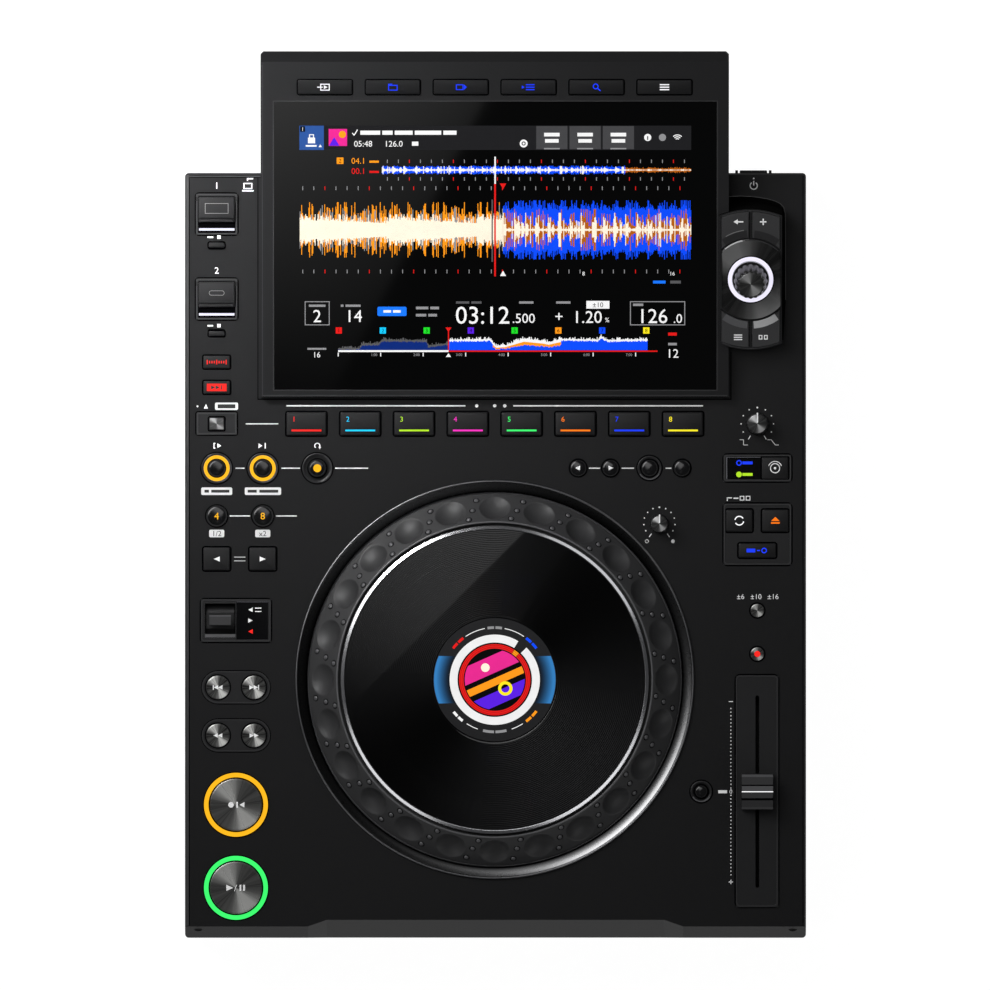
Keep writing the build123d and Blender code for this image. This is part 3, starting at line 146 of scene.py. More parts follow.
def surface(name, rgb, rough, spec=0.5, grain=0, size=0.5, metal=0, vary=0.1, painted_shade_from=None):
    """A moulded, painted or plated surface: drifting tone, uneven roughness and a grain of size mm.

    It is painted darker behind a depth in y given in mm: painted shade."""
    colour = srgb(*rgb)
    m, t, b, where = blank(name, {"Metallic": metal, "Specular IOR Level": spec})
    fine = noise(t, where, 1000 / size)
    tone = mix(t, noise(t, where, 22, 4), shade(colour, 1 - vary), shade(colour, 1 + vary))
    if painted_shade_from:
        behind = maths(t, "GREATER_THAN", node(t, "SeparateXYZ", {0: where})[1], painted_shade_from * MM)
        tone = mix(t, behind, tone, shade(colour, 0.35))
    feed(t, b, {"Base Color": tone, "Roughness": span(t, fine, rough * 0.85, min(1, rough * 1.15))})
    if grain:
        bump = node(t, "Bump", {"Strength": grain, "Distance": 0.1 * MM, "Height": fine})
        feed(t, b, {"Normal": bump["Normal"]})
    return m


def glow(name, rgb, strength=1, vary=0.06):
    """A lit window or lamp, a little uneven as a diffuser is."""
    colour = srgb(*rgb)
    m, t, b, where = blank(name, {"Roughness": 0.4, "Specular IOR Level": 0.1, "Emission Strength": strength})
    wide = noise(t, where, 180, 2)
    feed(t, b, {"Base Color": mix(t, wide, shade(colour, 0.1), shade(colour, 0.14)),
                "Emission Color": mix(t, wide, shade(colour, 1 - vary), shade(colour, 1 + vary))})
    return m


def spun(name, middle, rgb, dark, light, sharp, rough=0.3, angle=122):
    """Metal turned on a lathe about middle: a painted highlight, a bright fan across it at angle degrees, with
    fine spokes.
    """
    colour = srgb(*rgb)
    m, t, b, where = blank(name, {"Metallic": 0.42, "Specular IOR Level": 0.5})
    turn = about(t, where, middle)[1]
    fan = maths(t, "POWER", ripple(t, turn, 2, -2 * radians(angle)), sharp)
    streak = noise(t, node(t, "CombineXYZ", {0: turn})[0], 3.5, 2)
    lit = maths(t, "SUBTRACT", maths(t, "MULTIPLY_ADD", streak, 0.34, fan, clamp=True), 0.14, clamp=True)
    feed(t, b, {"Base Color": mix(t, lit, shade(colour, dark), shade(colour, light)),
                "Roughness": span(t, streak, rough * 0.8, rough * 1.2)})
    return m


def grooved(name, middle, pitch):
    """Black plate turned with fine grooves; the light their walls catch is painted into its colour, as lines that
    brighten in fans.
    """
    m, t, b, where = blank(name, {"Specular IOR Level": 0.5})
    far, turn = about(t, where, middle)
    fans = ripple(t, turn, 2, -2 * radians(310))
    lit = maths(t, "MULTIPLY", ripple(t, far, 2 * pi / (pitch * MM), 1.4), fans)
    feed(t, b, {"Base Color": mix(t, lit, srgb(1, 1, 1), srgb(52, 52, 53)),
                "Roughness": span(t, noise(t, where, 700), 0.012, 0.02)})
    return m


def lamp_fade(name, middle, near, far, dark, light):
    """A lit patch that brightens from one radius to another."""
    m, t, b, where = blank(name, {"Specular IOR Level": 0.1, "Emission Strength": 1})
    out = maths(t, "POWER", span(t, about(t, where, middle)[0], 0, 1, near * MM, far * MM), 1.8)
    feed(t, b, {"Emission Color": mix(t, out, dark, light),
                "Base Color": mix(t, out, shade(dark, 0.2), shade(light, 0.1))})
    return m


def bowl_metal(name, middle, near, far, inner, outer, rough):
    """Plated metal with painted light: it darkens down into the bowl (painted shade) and away from its two fans
    (painted highlights).
    """
    m, t, b, where = blank(name, {"Metallic": 1})
    away, turn = about(t, where, middle)
    strength = 0.08
    # Painted highlights: two bright fans round the bowl, nearly black elsewhere
    for angle, power, amount in ((312, 6, 0.72), (118, 12, 0.55)):
        fan = maths(t, "POWER", ripple(t, turn, 1, -radians(angle)), power)
        strength = maths(t, "MULTIPLY_ADD", fan, amount, strength)
    plated = mix(t, span(t, away, 0, 1, near * MM, far * MM), inner, outer)
    feed(t, b, {"Base Color": mix(t, strength, srgb(0, 0, 0), plated),
                "Roughness": span(t, noise(t, where, 700), rough * 0.9, rough * 1.1)})
    return m


# ---- meshes
def piece(name, verts, faces, material, body, slot, smooth=35, place=None):
    """A mesh piece that rides on a body. Its points are in mm, or in place's own axes."""
    me = bpy.data.meshes.new(name)
    me.from_pydata([(place @ Vector(v) if place else Vector(v)) * MM for v in verts], [], faces)
    me.materials.append(material)
    me.update()
    if smooth:
        me.shade_smooth()
        me.set_sharp_from_angle(angle=radians(smooth))
    o = bpy.data.objects.new(name, me)
    bpy.context.scene.collection.objects.link(o)
    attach(o, body)
    return o


def lathe(profile, middle=(0, 0), count=96, shape=None):
    """Points and faces of a closed profile of (radius, height) turned about middle. shape moves a point."""
    verts, faces, n = [], [], len(profile)
    for i in range(count):
        a = 2 * pi * i / count
        for r, z in profile:
            r, z = shape(a, r, z) if shape else (r, z)
            verts.append((middle[0] + r * cos(a), middle[1] + r * sin(a), z))
        j = (i + 1) % count
        faces += [(i * n + k, j * n + k, j * n + (k + 1) % n, i * n + (k + 1) % n) for k in range(n)]
    return verts, faces


def bands(rows, n, start=0):
    """Faces between neighbouring closed rows of n points, counted from start."""
    return [(p + i, p + (i + 1) % n, p + n + (i + 1) % n, p + n + i)
            for p in range(start, start + (rows - 1) * n, n) for i in range(n)]


def arc_points(cx, cz, r, a0, a1, n):
    """Points of an arc in a profile, from a0 to a1 degrees."""
    turns = [radians(a0 + (a1 - a0) * i / n) for i in range(n + 1)]
    return [(cx + r * cos(a), cz + r * sin(a)) for a in turns]


def rounded_loop(x, y, w, h, r, n=4):
    loop, r = [], max(r, 0.05)
    for cx, cy, a0 in ((w / 2 - r, h / 2 - r, 0), (r - w / 2, h / 2 - r, 90),
                       (r - w / 2, r - h / 2, 180), (w / 2 - r, r - h / 2, 270)):
        loop += arc_points(x + cx, y + cy, r, a0, a0 + 90, n)
    return loop


def lofted(x, y, w, h, corner, steps, shrink, n, slope):
    """Rows of points round a rounded box, one for each (inset, height) in steps, on a slope if one is given."""
    return [(px, py, z + (slope(px, py) if slope else 0)) for inset, z in steps
            for px, py in rounded_loop(x, y, w - 2 * inset, h - 2 * inset, corner - inset * shrink, n)]


def cap_mesh(places, w, h, low, high, corner=1, bevel=0.55, slope=None):
    """Rounded caps: a skirt, a rolled edge of bevel mm and a flat top."""
    verts, faces = [], []
    steps = [(0, low)] + [(bevel * (1 - cos(radians(a))), high - bevel * (1 - sin(radians(a))))
                            for a in (0, 30, 60, 90)]
    for x, y in places:
        start = len(verts)
        verts += lofted(x, y, w, h, corner, steps, 0.6, 4, slope)
        n = (len(verts) - start) // len(steps)
        faces += bands(len(steps), n, start) + [tuple(range(len(verts) - n, len(verts)))]
    return verts, faces


def rim_mesh(x, y, w, h, corner, width, low, high):
    """A raised rounded frame line with rolled sides."""
    steps = [(0, low), (0, high - 0.12), (0.12, high), (width - 0.15, high), (width, high - 0.15), (width, low)]
    verts = lofted(x, y, w, h, corner, steps, 1, 6, None)
    return verts, bands(len(steps), len(verts) // len(steps))


# ---- prints and lit marks: lists of flat loops in plan
def corners(x0, y0, x1, y1):
    return [[(x0, y0), (x1, y0), (x1, y1), (x0, y1)]]


def bar(x, y, w, h):
    return corners(x - w / 2, y - h / 2, x + w / 2, y + h / 2)


def stack(x, y, w, h, *ups):
    return sum((bar(x, y + up, w, h) for up in ups), [])


def dashes(y, *spans, half=0.3):
    """Thin bars along y, each from and to the x values of a span."""
    return sum((corners(x0, y - half, x1, y + half) for x0, x1 in spans), [])


def disc(x, y, r, n=24):
    return [[(x + r * cos(2 * pi * i / n), y + r * sin(2 * pi * i / n)) for i in range(n)]]


def ring(x, y, r0, r1, a0=0, a1=360, n=48):
    out = []
    for i in range(n):
        a, b = (radians(a0 + (a1 - a0) * k / n) for k in (i, i + 1))
        out.append([(x + r * cos(t), y + r * sin(t)) for r, t in ((r0, a), (r1, a), (r1, b), (r0, b))])
    return out


def line(x0, y0, x1, y1, w=0.45):
    d = hypot(x1 - x0, y1 - y0)
    nx, ny = -(y1 - y0) / d * w / 2, (x1 - x0) / d * w / 2
    return [[(x0 - nx, y0 - ny), (x1 - nx, y1 - ny), (x1 + nx, y1 + ny), (x0 + nx, y0 + ny)]]


def outline(x, y, w, h, t):
    return stack(x, y, w, t, (h - t) / 2, (t - h) / 2) + bar(x - (w - t) / 2, y, t, h - 2 * t) \
        + bar(x + (w - t) / 2, y, t, h - 2 * t)


def arrow(x, y, w, h, way):
    """A solid triangle pointing right, left, up or down."""
    a, b = w / 2, h / 2
    shapes = {"right": [(-a, -b), (a, 0), (-a, b)], "left": [(a, -b), (a, b), (-a, 0)],
              "up": [(-a, -b), (a, -b), (0, b)], "down": [(-a, b), (0, -b), (a, b)]}
    return [[(x + p, y + q) for p, q in shapes[way]]]


def digits(text, x, y, size):
    """Numbers and signs in Blender's own font, as flat faces about (x, y), with capitals size mm high."""
    c = bpy.data.curves.new("digits", "FONT")
    c.body = text
    c.size = size / 0.7
    c.align_x = "CENTER"
    c.resolution_u = 3
    o = bpy.data.objects.new("digits", c)
    bpy.context.scene.collection.objects.link(o)
    me = bpy.data.meshes.new_from_object(o)
    spots = [(x + v.co.x, y - size / 2 + v.co.y) for v in me.vertices]
    out = [[spots[i] for i in p.vertices] for p in me.polygons]
    bpy.data.objects.remove(o)
    bpy.data.meshes.remove(me)
    return out


INKS = {}


def ink(material, polygons, height=DECK, body="chassis", lift=0.05):
    """Keeps flat shapes for one sheet per material and body. height is a number, or gives z at (x, y)."""
    _, verts, faces = INKS.setdefault((material.name, body), (material, [], []))
    for loop in polygons:
        area = sum(a[0] * b[1] - b[0] * a[1] for a, b in zip(loop, loop[1:] + loop[:1]))
        start = len(verts)
        for x, y in (loop if area > 0 else loop[::-1]):
            verts.append((x, y, (height(x, y) if callable(height) else height) + lift))
        faces.append(tuple(range(start, len(verts))))


def shifted(polygons, x, y):
    return [[(x + px, y + py) for px, py in loop] for loop in polygons]


def on(name, material, polygons, above=0, lift=0.05, at=None):
    """Lays flat shapes, drawn about the node's centre or about at, on the top of a node that is its own body."""
    ink(material, shifted(polygons, *(at or centre(name))), top(name) + above, name, lift)


def seam(x, y, w, h, t=0.5, z=DECK, corner=1, lift=0.04):
    """The dark joint that shows round a key or a frame."""
    outer = rounded_loop(x, y, w + 2 * t, h + 2 * t, corner + t, 5)
    inner = rounded_loop(x, y, w, h, corner, 5)
    ink(GROOVE_AND_SHADE, [[outer[i - 1], outer[i], inner[i], inner[i - 1]] for i in range(len(outer))], z, lift=lift)


# ---- materials of the object
# name: colour, roughness, specular level, strength of the grain and its size
MATS = {name: surface(name, *values) for name, values in {
    "deck": ((19, 19, 20), 0.42, 0.2, 0.5, 0.35),
    # housing: painted shade, darker behind 229 mm in y, where the hood's rear bevel is
    "housing": ((28, 28, 29), 0.44, 0.2, 0.5, 0.35, 0, 0.1, 229),
    "glass": ((0, 0, 0), 0.03, 0.5, 0, 0.5, 0, 0.3),
    "screen": ((9, 9, 11), 0.25, 0.3),
    "panel": ((26, 26, 28), 0.5, 0.5, 0.3),
    "socket": ((14, 14, 15), 0.35, 0.4),
    "rubber": ((18, 18, 18), 0.85, 0.2, 0.8, 0.8),
    "steel": ((150, 150, 152), 0.3, 0.5, 0, 0.5, 1),
    "dial": ((46, 46, 47), 0.5, 0.4, 0.3, 0.3),
    "door": ((28, 28, 29), 0.4, 0.2, 0.3, 0.3),
    "board": ((12, 60, 30), 0.5),
    "insert": ((31, 31, 32), 0.36, 0.25, 0.3, 0.3),
    "key": ((21, 21, 22), 0.38, 0.24, 0.25, 0.3),
    "key_metal": ((70, 70, 72), 0.3, 0.5, 0, 0.5, 0.8),
    "knob": ((20, 20, 21), 0.35, 0.45),
}.items()}
# The bezel's colour carries painted shade and painted highlights
MATS["bezel"] = bowl_metal("bezel", JOG, 99.95, 102.6, srgb(40, 40, 41), srgb(150, 150, 151), 0.28)
# The platter's colour carries painted highlights along its grooves
MATS["platter"] = grooved("platter", JOG, GROOVE_PITCH)
MATS["light"] = glow("diffuser", (205, 205, 215), 0.55)

GLOSS = surface("gloss_key", (12, 12, 13), 0.14, 0.6)
CHROME = surface("chrome", (190, 190, 193), 0.24, metal=1)
WINDOW = surface("window", (2, 2, 3), 0.08)
# Dark joints, and painted shade round the dial's pips
GROOVE_AND_SHADE = surface("groove", (4, 4, 5), 0.8, 0)
# A soft lighter tone: painted highlights on edges, bands and patches
SOFT_HIGHLIGHT = surface("soft_edge", (56, 56, 57), 0.4, 0.2)
# A lighter tone for edges, rims and small parts: painted highlights
EDGE_HIGHLIGHT = surface("edge", (78, 78, 80), 0.4)
# Light grey for the marks on the USB covers, and for painted highlights on the selector's disc rim and a rear
# browse key
MARK_AND_HIGHLIGHT = surface("trim", (112, 112, 112), 0.35)
TRIM_DARK = surface("rim", (40, 40, 41), 0.3)
LIP = surface("lip", (118, 118, 120), 0.34, metal=1)
WHITE = surface("white_print", (248, 248, 248), 0.6)
# Grey for prints, and for one painted highlight arc on the selector's disc rim
GREY_PRINT_AND_HIGHLIGHT = surface("grey_print", (215, 215, 215), 0.6)
BLACK_PRINT = surface("black_print", (18, 18, 18), 0.6)
# A dull black: painted shade behind and round the selector's tower
RECESS_SHADE = surface("recess", (9, 9, 9), 0.9, 0)
# A light band on the front browse keys: a painted highlight
BROWSE_HIGHLIGHT = surface("band", (165, 165, 166), 0.4, 0.2)
# A darker band on the rear browse keys: painted shade
BROWSE_SHADE = surface("browse_band", (37, 37, 38), 0.42, 0.2)
BROWSE = surface("browse_key", (54, 54, 55), 0.42, 0.25, 0.3, 0.3)
# A dark, dull sheet for the hood's rear bevel: painted shade
HOOD_BEVEL_SHADE = surface("hood_edge", (15, 15, 16), 0.44, 0.04)
JOG_FACE = surface("jog_face", (26, 26, 28), 0.4, 0.3)
JOG_SIDE = lamp_fade("jog_side", JOG, 24, 31, srgb(14, 20, 28), srgb(50, 122, 184))
JOG_WHITE = glow("jog_white", (232, 232, 232))
LED_RING = glow("led_ring", (238, 234, 255))
LED_WHITE = glow("led_white", (250, 250, 255))
LED_AMBER = glow("led_amber", (255, 184, 30))
LED_GREEN = glow("led_green", (62, 250, 112))
LED_RED = glow("led_red", (255, 40, 34))
LED_BLUE = glow("led_blue", (28, 62, 255))
LED_CYAN = glow("led_cyan", (30, 200, 255))
LED_LIME = glow("led_lime", (175, 225, 40))
LED_PINK = glow("led_pink", (240, 50, 190))
LED_ORANGE = glow("led_orange", (255, 120, 20))
LED_YELLOW = glow("led_yellow", (250, 230, 40))


def dress(names, material):
    for name in names:
        for s in NODES[name].material_slots:
            s.material = material or MATS[s.material.name.split(".")[0]]


dress(NODES, None)
dress(("direction_lever", "tempo_slider"), MATS["door"])
dress(("browse_keys_front", "browse_keys_rear"), BROWSE)


# ---- the jog wheel
DIMPLES, DIMPLE_R, DIMPLE_DEEP, DIMPLE_AT = 24, 8.15, 2.8, 90.9
FOOT_R, FOOT_Z, RIM_R, RIM_Z = 99.3, 77.5, 83.8, 92.2
SLOPE = hypot(FOOT_R - RIM_R, RIM_Z - FOOT_Z)
OUT_R, OUT_Z = (RIM_Z - FOOT_Z) / SLOPE, (FOOT_R - RIM_R) / SLOPE  # square to the slope
BALL = (DIMPLE_R ** 2 + DIMPLE_DEEP ** 2) / (2 * DIMPLE_DEEP)


def dial_point(a, r, z):
    """Sinks the finger dimples, ball cuts square to the cone, into the dial's slope."""
    if not 0.02 < (r - RIM_R) / (FOOT_R - RIM_R) < 0.98 or z < FOOT_Z:
        return r, z
    step = 2 * pi / DIMPLES
    da = (a - pi / 2 + step / 2) % step - step / 2
    d = hypot(da * DIMPLE_AT, (r - DIMPLE_AT) / OUT_Z)
    if d >= DIMPLE_R:
        return r, z
    sink = min(sqrt(BALL ** 2 - d ** 2) - (BALL - DIMPLE_DEEP), 4 * (DIMPLE_R - d))
    return r - OUT_R * sink, z - OUT_Z * sink


rise = 56
dial = [(18, 84.5), (80, 84.5), (80, 70), (96.3, 66), (98.9, 66), (99.3, 66.4), (99.3, 77), (99.25, 77.4)]
dial += [(FOOT_R + (RIM_R - FOOT_R) * i / rise, FOOT_Z + (RIM_Z - FOOT_Z) * i / rise) for i in range(1, rise)]
dial += [(83.95, 92), (83.7, 92.19), (83.3, 92.2), (83.05, 92.1), (83, 91.8), (83, 88), (81.5, 87.8),
         (18, 87.8)]
o = piece("jog_dial_rim", *lathe(dial, JOG, 960, dial_point), MATS["dial"], "jog_wheel", "dial", smooth=40)
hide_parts("jog_dial")

# Three pips between neighbouring dimples, lighter than the dial as a painted highlight, each ringed with painted
# shade
pips, pip_painted_shade = ([], []), ([], [])
for k in range(DIMPLES):
    for r, shift in ((95.3, -1.6), (90.2, 0), (85.7, 1.7)):
        a = pi / 2 + 2 * pi * (k + 0.5) / DIMPLES + radians(shift)
        drop = (r - RIM_R) / (FOOT_R - RIM_R) * (FOOT_Z - RIM_Z)
        foot = Vector((JOG[0] + r * cos(a), JOG[1] + r * sin(a), RIM_Z + drop))
        out = Vector((OUT_R * cos(a), OUT_R * sin(a), OUT_Z))
        side = Vector((-sin(a), cos(a), 0))
        along = out.cross(side)
        for (verts, faces), n, rows in ((pip_painted_shade, 16, ((1.2, 0.04), (1.75, 0.04))),
                                        (pips, 12, ((1.35, -0.2), (1.15, 0.35), (0.75, 0.62)))):
            faces += bands(len(rows), n, len(verts))
            for wide, h in rows:
                turns = [2 * pi * i / n for i in range(n)]
                verts += [foot + side * (wide * cos(t)) + along * (wide * sin(t)) + out * h for t in turns]
        faces += [(len(verts) - n + i, len(verts) - n + (i + 1) % n, len(verts)) for i in range(n)]
        verts.append(foot + out * 0.72)
piece("jog_dial_pips", *pips, EDGE_HIGHLIGHT, "jog_wheel", "dial", smooth=60)
piece("jog_dial_pip_shades", *pip_painted_shade, GROOVE_AND_SHADE, "jog_wheel", "dial")

# The platter: fine turned grooves between the display and a polished ring
grooves = []
for k in range(48):
    r = 33.6 + GROOVE_PITCH * k
    grooves += [(r, 91.2), (r + 0.5, 91.2), (r + 0.73, 90.98)]
plate = [(19, 88.3), (81.2, 88.3), (81.3, 91), (80, 91)] + grooves[::-1] + [(33.3, 91.1), (33.2, 90), (19, 90)]
o = piece("jog_platter_plate", *lathe(plate, JOG, 300), MATS["platter"], "jog_wheel", "platter", smooth=25)
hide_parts("jog_platter")
polished = [(79.55, 90.9), (79.6, 91.5), (79.75, 91.75), (79.95, 91.8), (80.1, 91.72), (81.55, 90.95),
            (81.6, 90.8)]
piece("jog_platter_ring", *lathe(polished, JOG, 720), CHROME, "jog_wheel", "platter", smooth=22)

# The bowl-lipped ring round the wheel
BOWL_R, BOWL_Z, BOWL_WIDE = 104.6, 80.95, 4.65
bowl = [(102.5, 57), (105.6, 79.2), (105.6, 80.9)] + arc_points(105.1, 80.9, 0.5, 0, 90, 5) + [(104.75, 81.35)]
bowl += [(BOWL_R - BOWL_WIDE * s, BOWL_Z - BOWL_WIDE * (0.45 * s - 0.17 * s ** 2))
         for s in (i / 12 for i in range(13))]
bowl += [(99.95, 60), (18, 60), (18, 57)]
o = piece("jog_bezel_ring", *lathe(bowl, JOG, 300), MATS["bezel"], "chassis", "bezel", smooth=50)
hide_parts("jog_bezel")
lip = [(105.66, 80.7)] + arc_points(105.1, 80.95, 0.56, 0, 150, 8) + [(104.7, 80.9)]
piece("jog_bezel_lip", *lathe(lip, JOG, 300), LIP, "chassis", "bezel", smooth=60)
# Thin pieces at the dial's foot and brow in a lighter tone: painted highlights
for tag, edge in (("foot", [(99.35, 76.9), (99.5, 77.3), (99.42, 77.62), (98.8, 78.2), (98.6, 78.1)]),
                  ("brow", [(83.02, 91.6), (83.05, 92.2), (83.2, 92.32), (83.7, 92.34), (83.98, 92.1)])):
    piece("jog_dial_" + tag, *lathe(edge, JOG, 300), EDGE_HIGHLIGHT, "jog_wheel", "dial", smooth=60)


# ---- knobs
def fluted(count, deep):
    """A shape for lathe: count scallops, deep mm at a radius of 5 mm or more and less further in."""
    return lambda a, r, z: (r - deep * (1 - abs(cos(a * count / 2))) * min(1, r / 5), z)


axes = Matrix((Vector((1, 0, 0)), TILT.cross(Vector((1, 0, 0))), TILT)).transposed().to_4x4()
axes.translation = Vector((SX, SY, tower(0)(SX, SY)))
grip = [(0, 3.2), (8.6, 3.2), (8.95, 3.5), (8.95, 4.2), (7.7, 14.9), (7.5, 15.5), (7.1, 15.95), (6.6, 16.15)]
fine = grip[:1]
for (r0, z0), (r1, z1) in zip(grip[1:], grip[2:] + [(0, 16.15)]):
    parts = 1 if r0 < 8 else 3
    fine += [(r0 + (r1 - r0) * i / parts, z0 + (z1 - z0) * i / parts) for i in range(parts)]
fine.append((0, 16.15))
o = piece("selector_grip", *lathe(fine, (0, 0), 176, fluted(16, 0.75)), MATS["knob"], "selector_knob", "knob",
          smooth=40, place=axes)
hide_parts("selector_knob")
cap = [(0, 15.9), (6.1, 15.9), (6.3, 16.1), (6.1, 16.28), (0, 16.28)]
# The cap's colour carries a painted highlight fan
metal = spun("spun_selector", (SX, 111.3), (120, 120, 120), 0.08, 1.9, 3.4)
piece("selector_cap", *lathe(cap, (0, 0), 64), metal, "selector_knob", "knob", smooth=40, place=axes)

for name in ("jog_feel_knob", "vinyl_speed_knob"):
    x, y = centre(name)
    h = top(name)
    r = (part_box(name)[1].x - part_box(name)[0].x) / 2 / MM
    grip = [(0, 80.6), (0.97, 80.6), (1, 80.9), (1, 82.2), (0.95, 82.6), (0.9, h - 0.7), (0.87, h - 0.1),
            (0.84, h), (0, h)]
    cap = [(0, h - 0.2), (0.8, h - 0.2), (0.8, h + 0.02), (0.76, h + 0.08), (0, h + 0.08)]
    grip, cap = ([(r * share, z) for share, z in profile] for profile in (grip, cap))
    o = piece(name + "_grip", *lathe(grip, (x, y), 160, fluted(18, 0.28)), MATS["knob"], name, "knob", 40)
    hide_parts(name)
    # The cap's colour carries a painted highlight fan
    metal = spun("spun_" + name, (x, y), (120, 120, 120), 0.05, 2.8, 4.6)
    piece(name + "_cap", *lathe(cap, (x, y), 64), metal, name, "knob", smooth=40)
    on(name, WHITE, line(0, r * 0.1, 0, r * 0.98, 0.7), lift=0.12)


# ---- round metal keys
def metal_key(name, node_name, x, y, r, dark, light, sharp=3.2):
    """A turned cap with a rolled edge, standing for a key's top, with a painted highlight fan."""
    z = top(node_name)
    metal = spun("spun_" + name, (x, y), (128, 128, 126), dark, light, sharp, 0.28)
    face = [(0, z - 0.5), (r, z - 0.5), (r, z - 0.3)] + arc_points(r - 0.5, z - 0.38, 0.5, 0, 90, 5)
    face += [(r - 1.1, z + 0.06), (0, z + 0.06)]
    piece(name + "_face", *lathe(face, (x, y), 96), metal, node_name, "key_metal")


PAIR = 9.55  # half the pitch of two neighbouring keys
PLAY_R, TRACK_R, TEMPO_R = 13.85, 6.3, 3.65
for name in ("play_key", "cue_key"):
    metal_key(name, name, *centre(name), PLAY_R, 0.2, 2.4)
for name in ("track_keys", "search_keys"):
    x, y = centre(name)
    for side, tag in ((-1, "left"), (1, "right")):
        metal_key(f"{name}_{tag}", name, x + side * PAIR, y, TRACK_R, 0.07, 3.6, 4.6)

# The selector's dished disc, turned metal on the tower between the browse keys, with a painted highlight fan
rings = [12.3, 13.2, 15, 17, 19, 20.6, 21.1]
verts, faces = [], []
for i in range(120):
    a = 2 * pi * i / 120
    verts += [(max(-15.2, min(15.8, r * cos(a))), r * sin(a), 0.62 + 0.5 * ((r - 12.3) / 8.8) ** 2)
              for r in rings]
    for k in range(len(rings) - 1):
        p, q = i * len(rings) + k, (i + 1) % 120 * len(rings) + k
        faces.append((p, p + 1, q + 1, q))
piece("selector_disc", verts, faces, spun("spun_disc", (SX, SY), (112, 112, 112), 0.05, 1.6, 2.6, 0.22, 126),
      "chassis", "housing", smooth=50, place=axes)

# The tower's leaning rear wall, covered with a dull black skin: painted shade
BOW, FRAME_HALF, FRAME_END = 42.5, 16.65, 37.7
lean = [((BOW + 0.1) * sin(a), FRAME_END - BOW + (BOW + 0.1) * cos(a), n)
        for a in (asin(FRAME_HALF / BOW) * (i - 16) / 16 for i in range(33)) for n in (-0.35, -25.5)]
piece("tower_back", lean, [(i, i + 1, i + 3, i + 2) for i in range(0, 64, 2)], RECESS_SHADE, "chassis", "housing",
      smooth=50, place=axes)


# ---- rounded key caps
def keys(name, places, w, h, corner=0.9, bevel=0.55, z=DECK):
    o = piece(name + "_caps", *cap_mesh(places, w, h, 75, top(name), corner, bevel), MATS["key"], name, "key")
    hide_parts(name)
    for x, y in places:
        seam(x, y, w, h, 0.8, z, corner)


PADS = [centre(f"hot_cue_{i}") for i in range(1, 9)]
PAD_LIGHTS = [LED_RED, LED_CYAN, LED_LIME, LED_PINK, LED_GREEN, LED_ORANGE, LED_BLUE, LED_YELLOW]
for i, ((x, y), lamp) in enumerate(zip(PADS, PAD_LIGHTS), 1):
    name = f"hot_cue_{i}"
    keys(name, [(x, y)], 21.2, 12.4, 0.9, 0.7)
    on(name, lamp, digits(str(i), -6.6, 2.5, 2.7) + bar(0, -3.5, 15.8, 0.95))
(first, _), *_, (last, _) = PADS
mid_left, mid_right = PADS[3][0], PADS[4][0]
ink(WHITE, dashes(47.25, (first - 10.6, mid_left - 1.3), (mid_right - 4.4, last + 10.6), half=0.35))
for x in (mid_left + 4.7, mid_left + 14.2, mid_right - 9):
    ink(WHITE, disc(x, 47.25, 0.9))

OUT_X, IN_X = centre("loop_in_key")[0], centre("loop_out_key")[0]
LOOP_Y, BEAT_Y, JUMP_Y = (centre(name)[1] for name in ("loop_in_key", "beat_loop_keys", "beat_jump_keys"))
CALL_X, CALL_Y = centre("call_delete_key")
CUE_Y = 14.3
for name in ("quantize_key", "slip_key"):
    keys(name, [centre(name)], 14.1, 6.7, 0.6, 0.45)
for k in range(-4, 5):
    on("quantize_key", LED_RED, bar(k * 1.25, 0, 0.5, 1.3 if k % 4 else 2.4))
on("slip_key", LED_RED, bar(0, 0, 10.4, 3.9))
on("slip_key", BLACK_PRINT, arrow(-1.9, 0, 2.2, 2.2, "right") + arrow(0.5, 0, 2.2, 2.2, "right")
   + bar(2.5, 0, 0.6, 2.2), lift=0.09)
keys("beat_jump_keys", [(OUT_X, JUMP_Y), (IN_X, JUMP_Y)], 14.2, 12.2, 0.9, 0.6)
for x, way in ((OUT_X, "left"), (IN_X, "right")):
    on("beat_jump_keys", WHITE, arrow(0, 0, 3.2, 2.7, way), at=(x, JUMP_Y))
for up in (-1, 1):
    ink(GREY_PRINT_AND_HIGHLIGHT, dashes(JUMP_Y + up, (OUT_X + 9.2, IN_X - 9.2), half=0.2))

# Round keys: domed tops with a dark seam
DOMES = (("beat_loop_keys", OUT_X, BEAT_Y, 5.6, 0.5), ("beat_loop_keys", IN_X, BEAT_Y, 5.6, 0.5),
         ("loop_in_key", OUT_X, LOOP_Y, 4.7, 0.4), ("loop_out_key", IN_X, LOOP_Y, 4.7, 0.4),
         ("reloop_key", *centre("reloop_key"), 4.7, 0.4),
         ("cue_call_keys", 43.8, CUE_Y, 4.4, 0.5), ("cue_call_keys", 60.9, CUE_Y, 4.4, 0.5),
         ("cue_memory_keys", 81.6, CUE_Y, 4.4, 0.5), ("cue_memory_keys", 98.9, CUE_Y, 4.4, 0.5),
         ("tempo_reset_key", *centre("tempo_reset_key"), 3.3, 0.4))
for i, (name, x, y, r, rise) in enumerate(DOMES, 1):
    z = top(name)
    dome = [(0, z - 1.5), (r, z - 1.5), (r, z - 0.5)]
    dome += [(r * cos(radians(a)), z - 0.5 + (0.5 + rise) * sin(radians(a))) for a in range(12, 85, 12)]
    piece(f"{name}_dome_{i}", *lathe(dome + [(0, z + rise)], (x, y), 48), GLOSS, name, "key", smooth=50)
    ink(GROOVE_AND_SHADE, ring(x, y, r, r + 0.7))
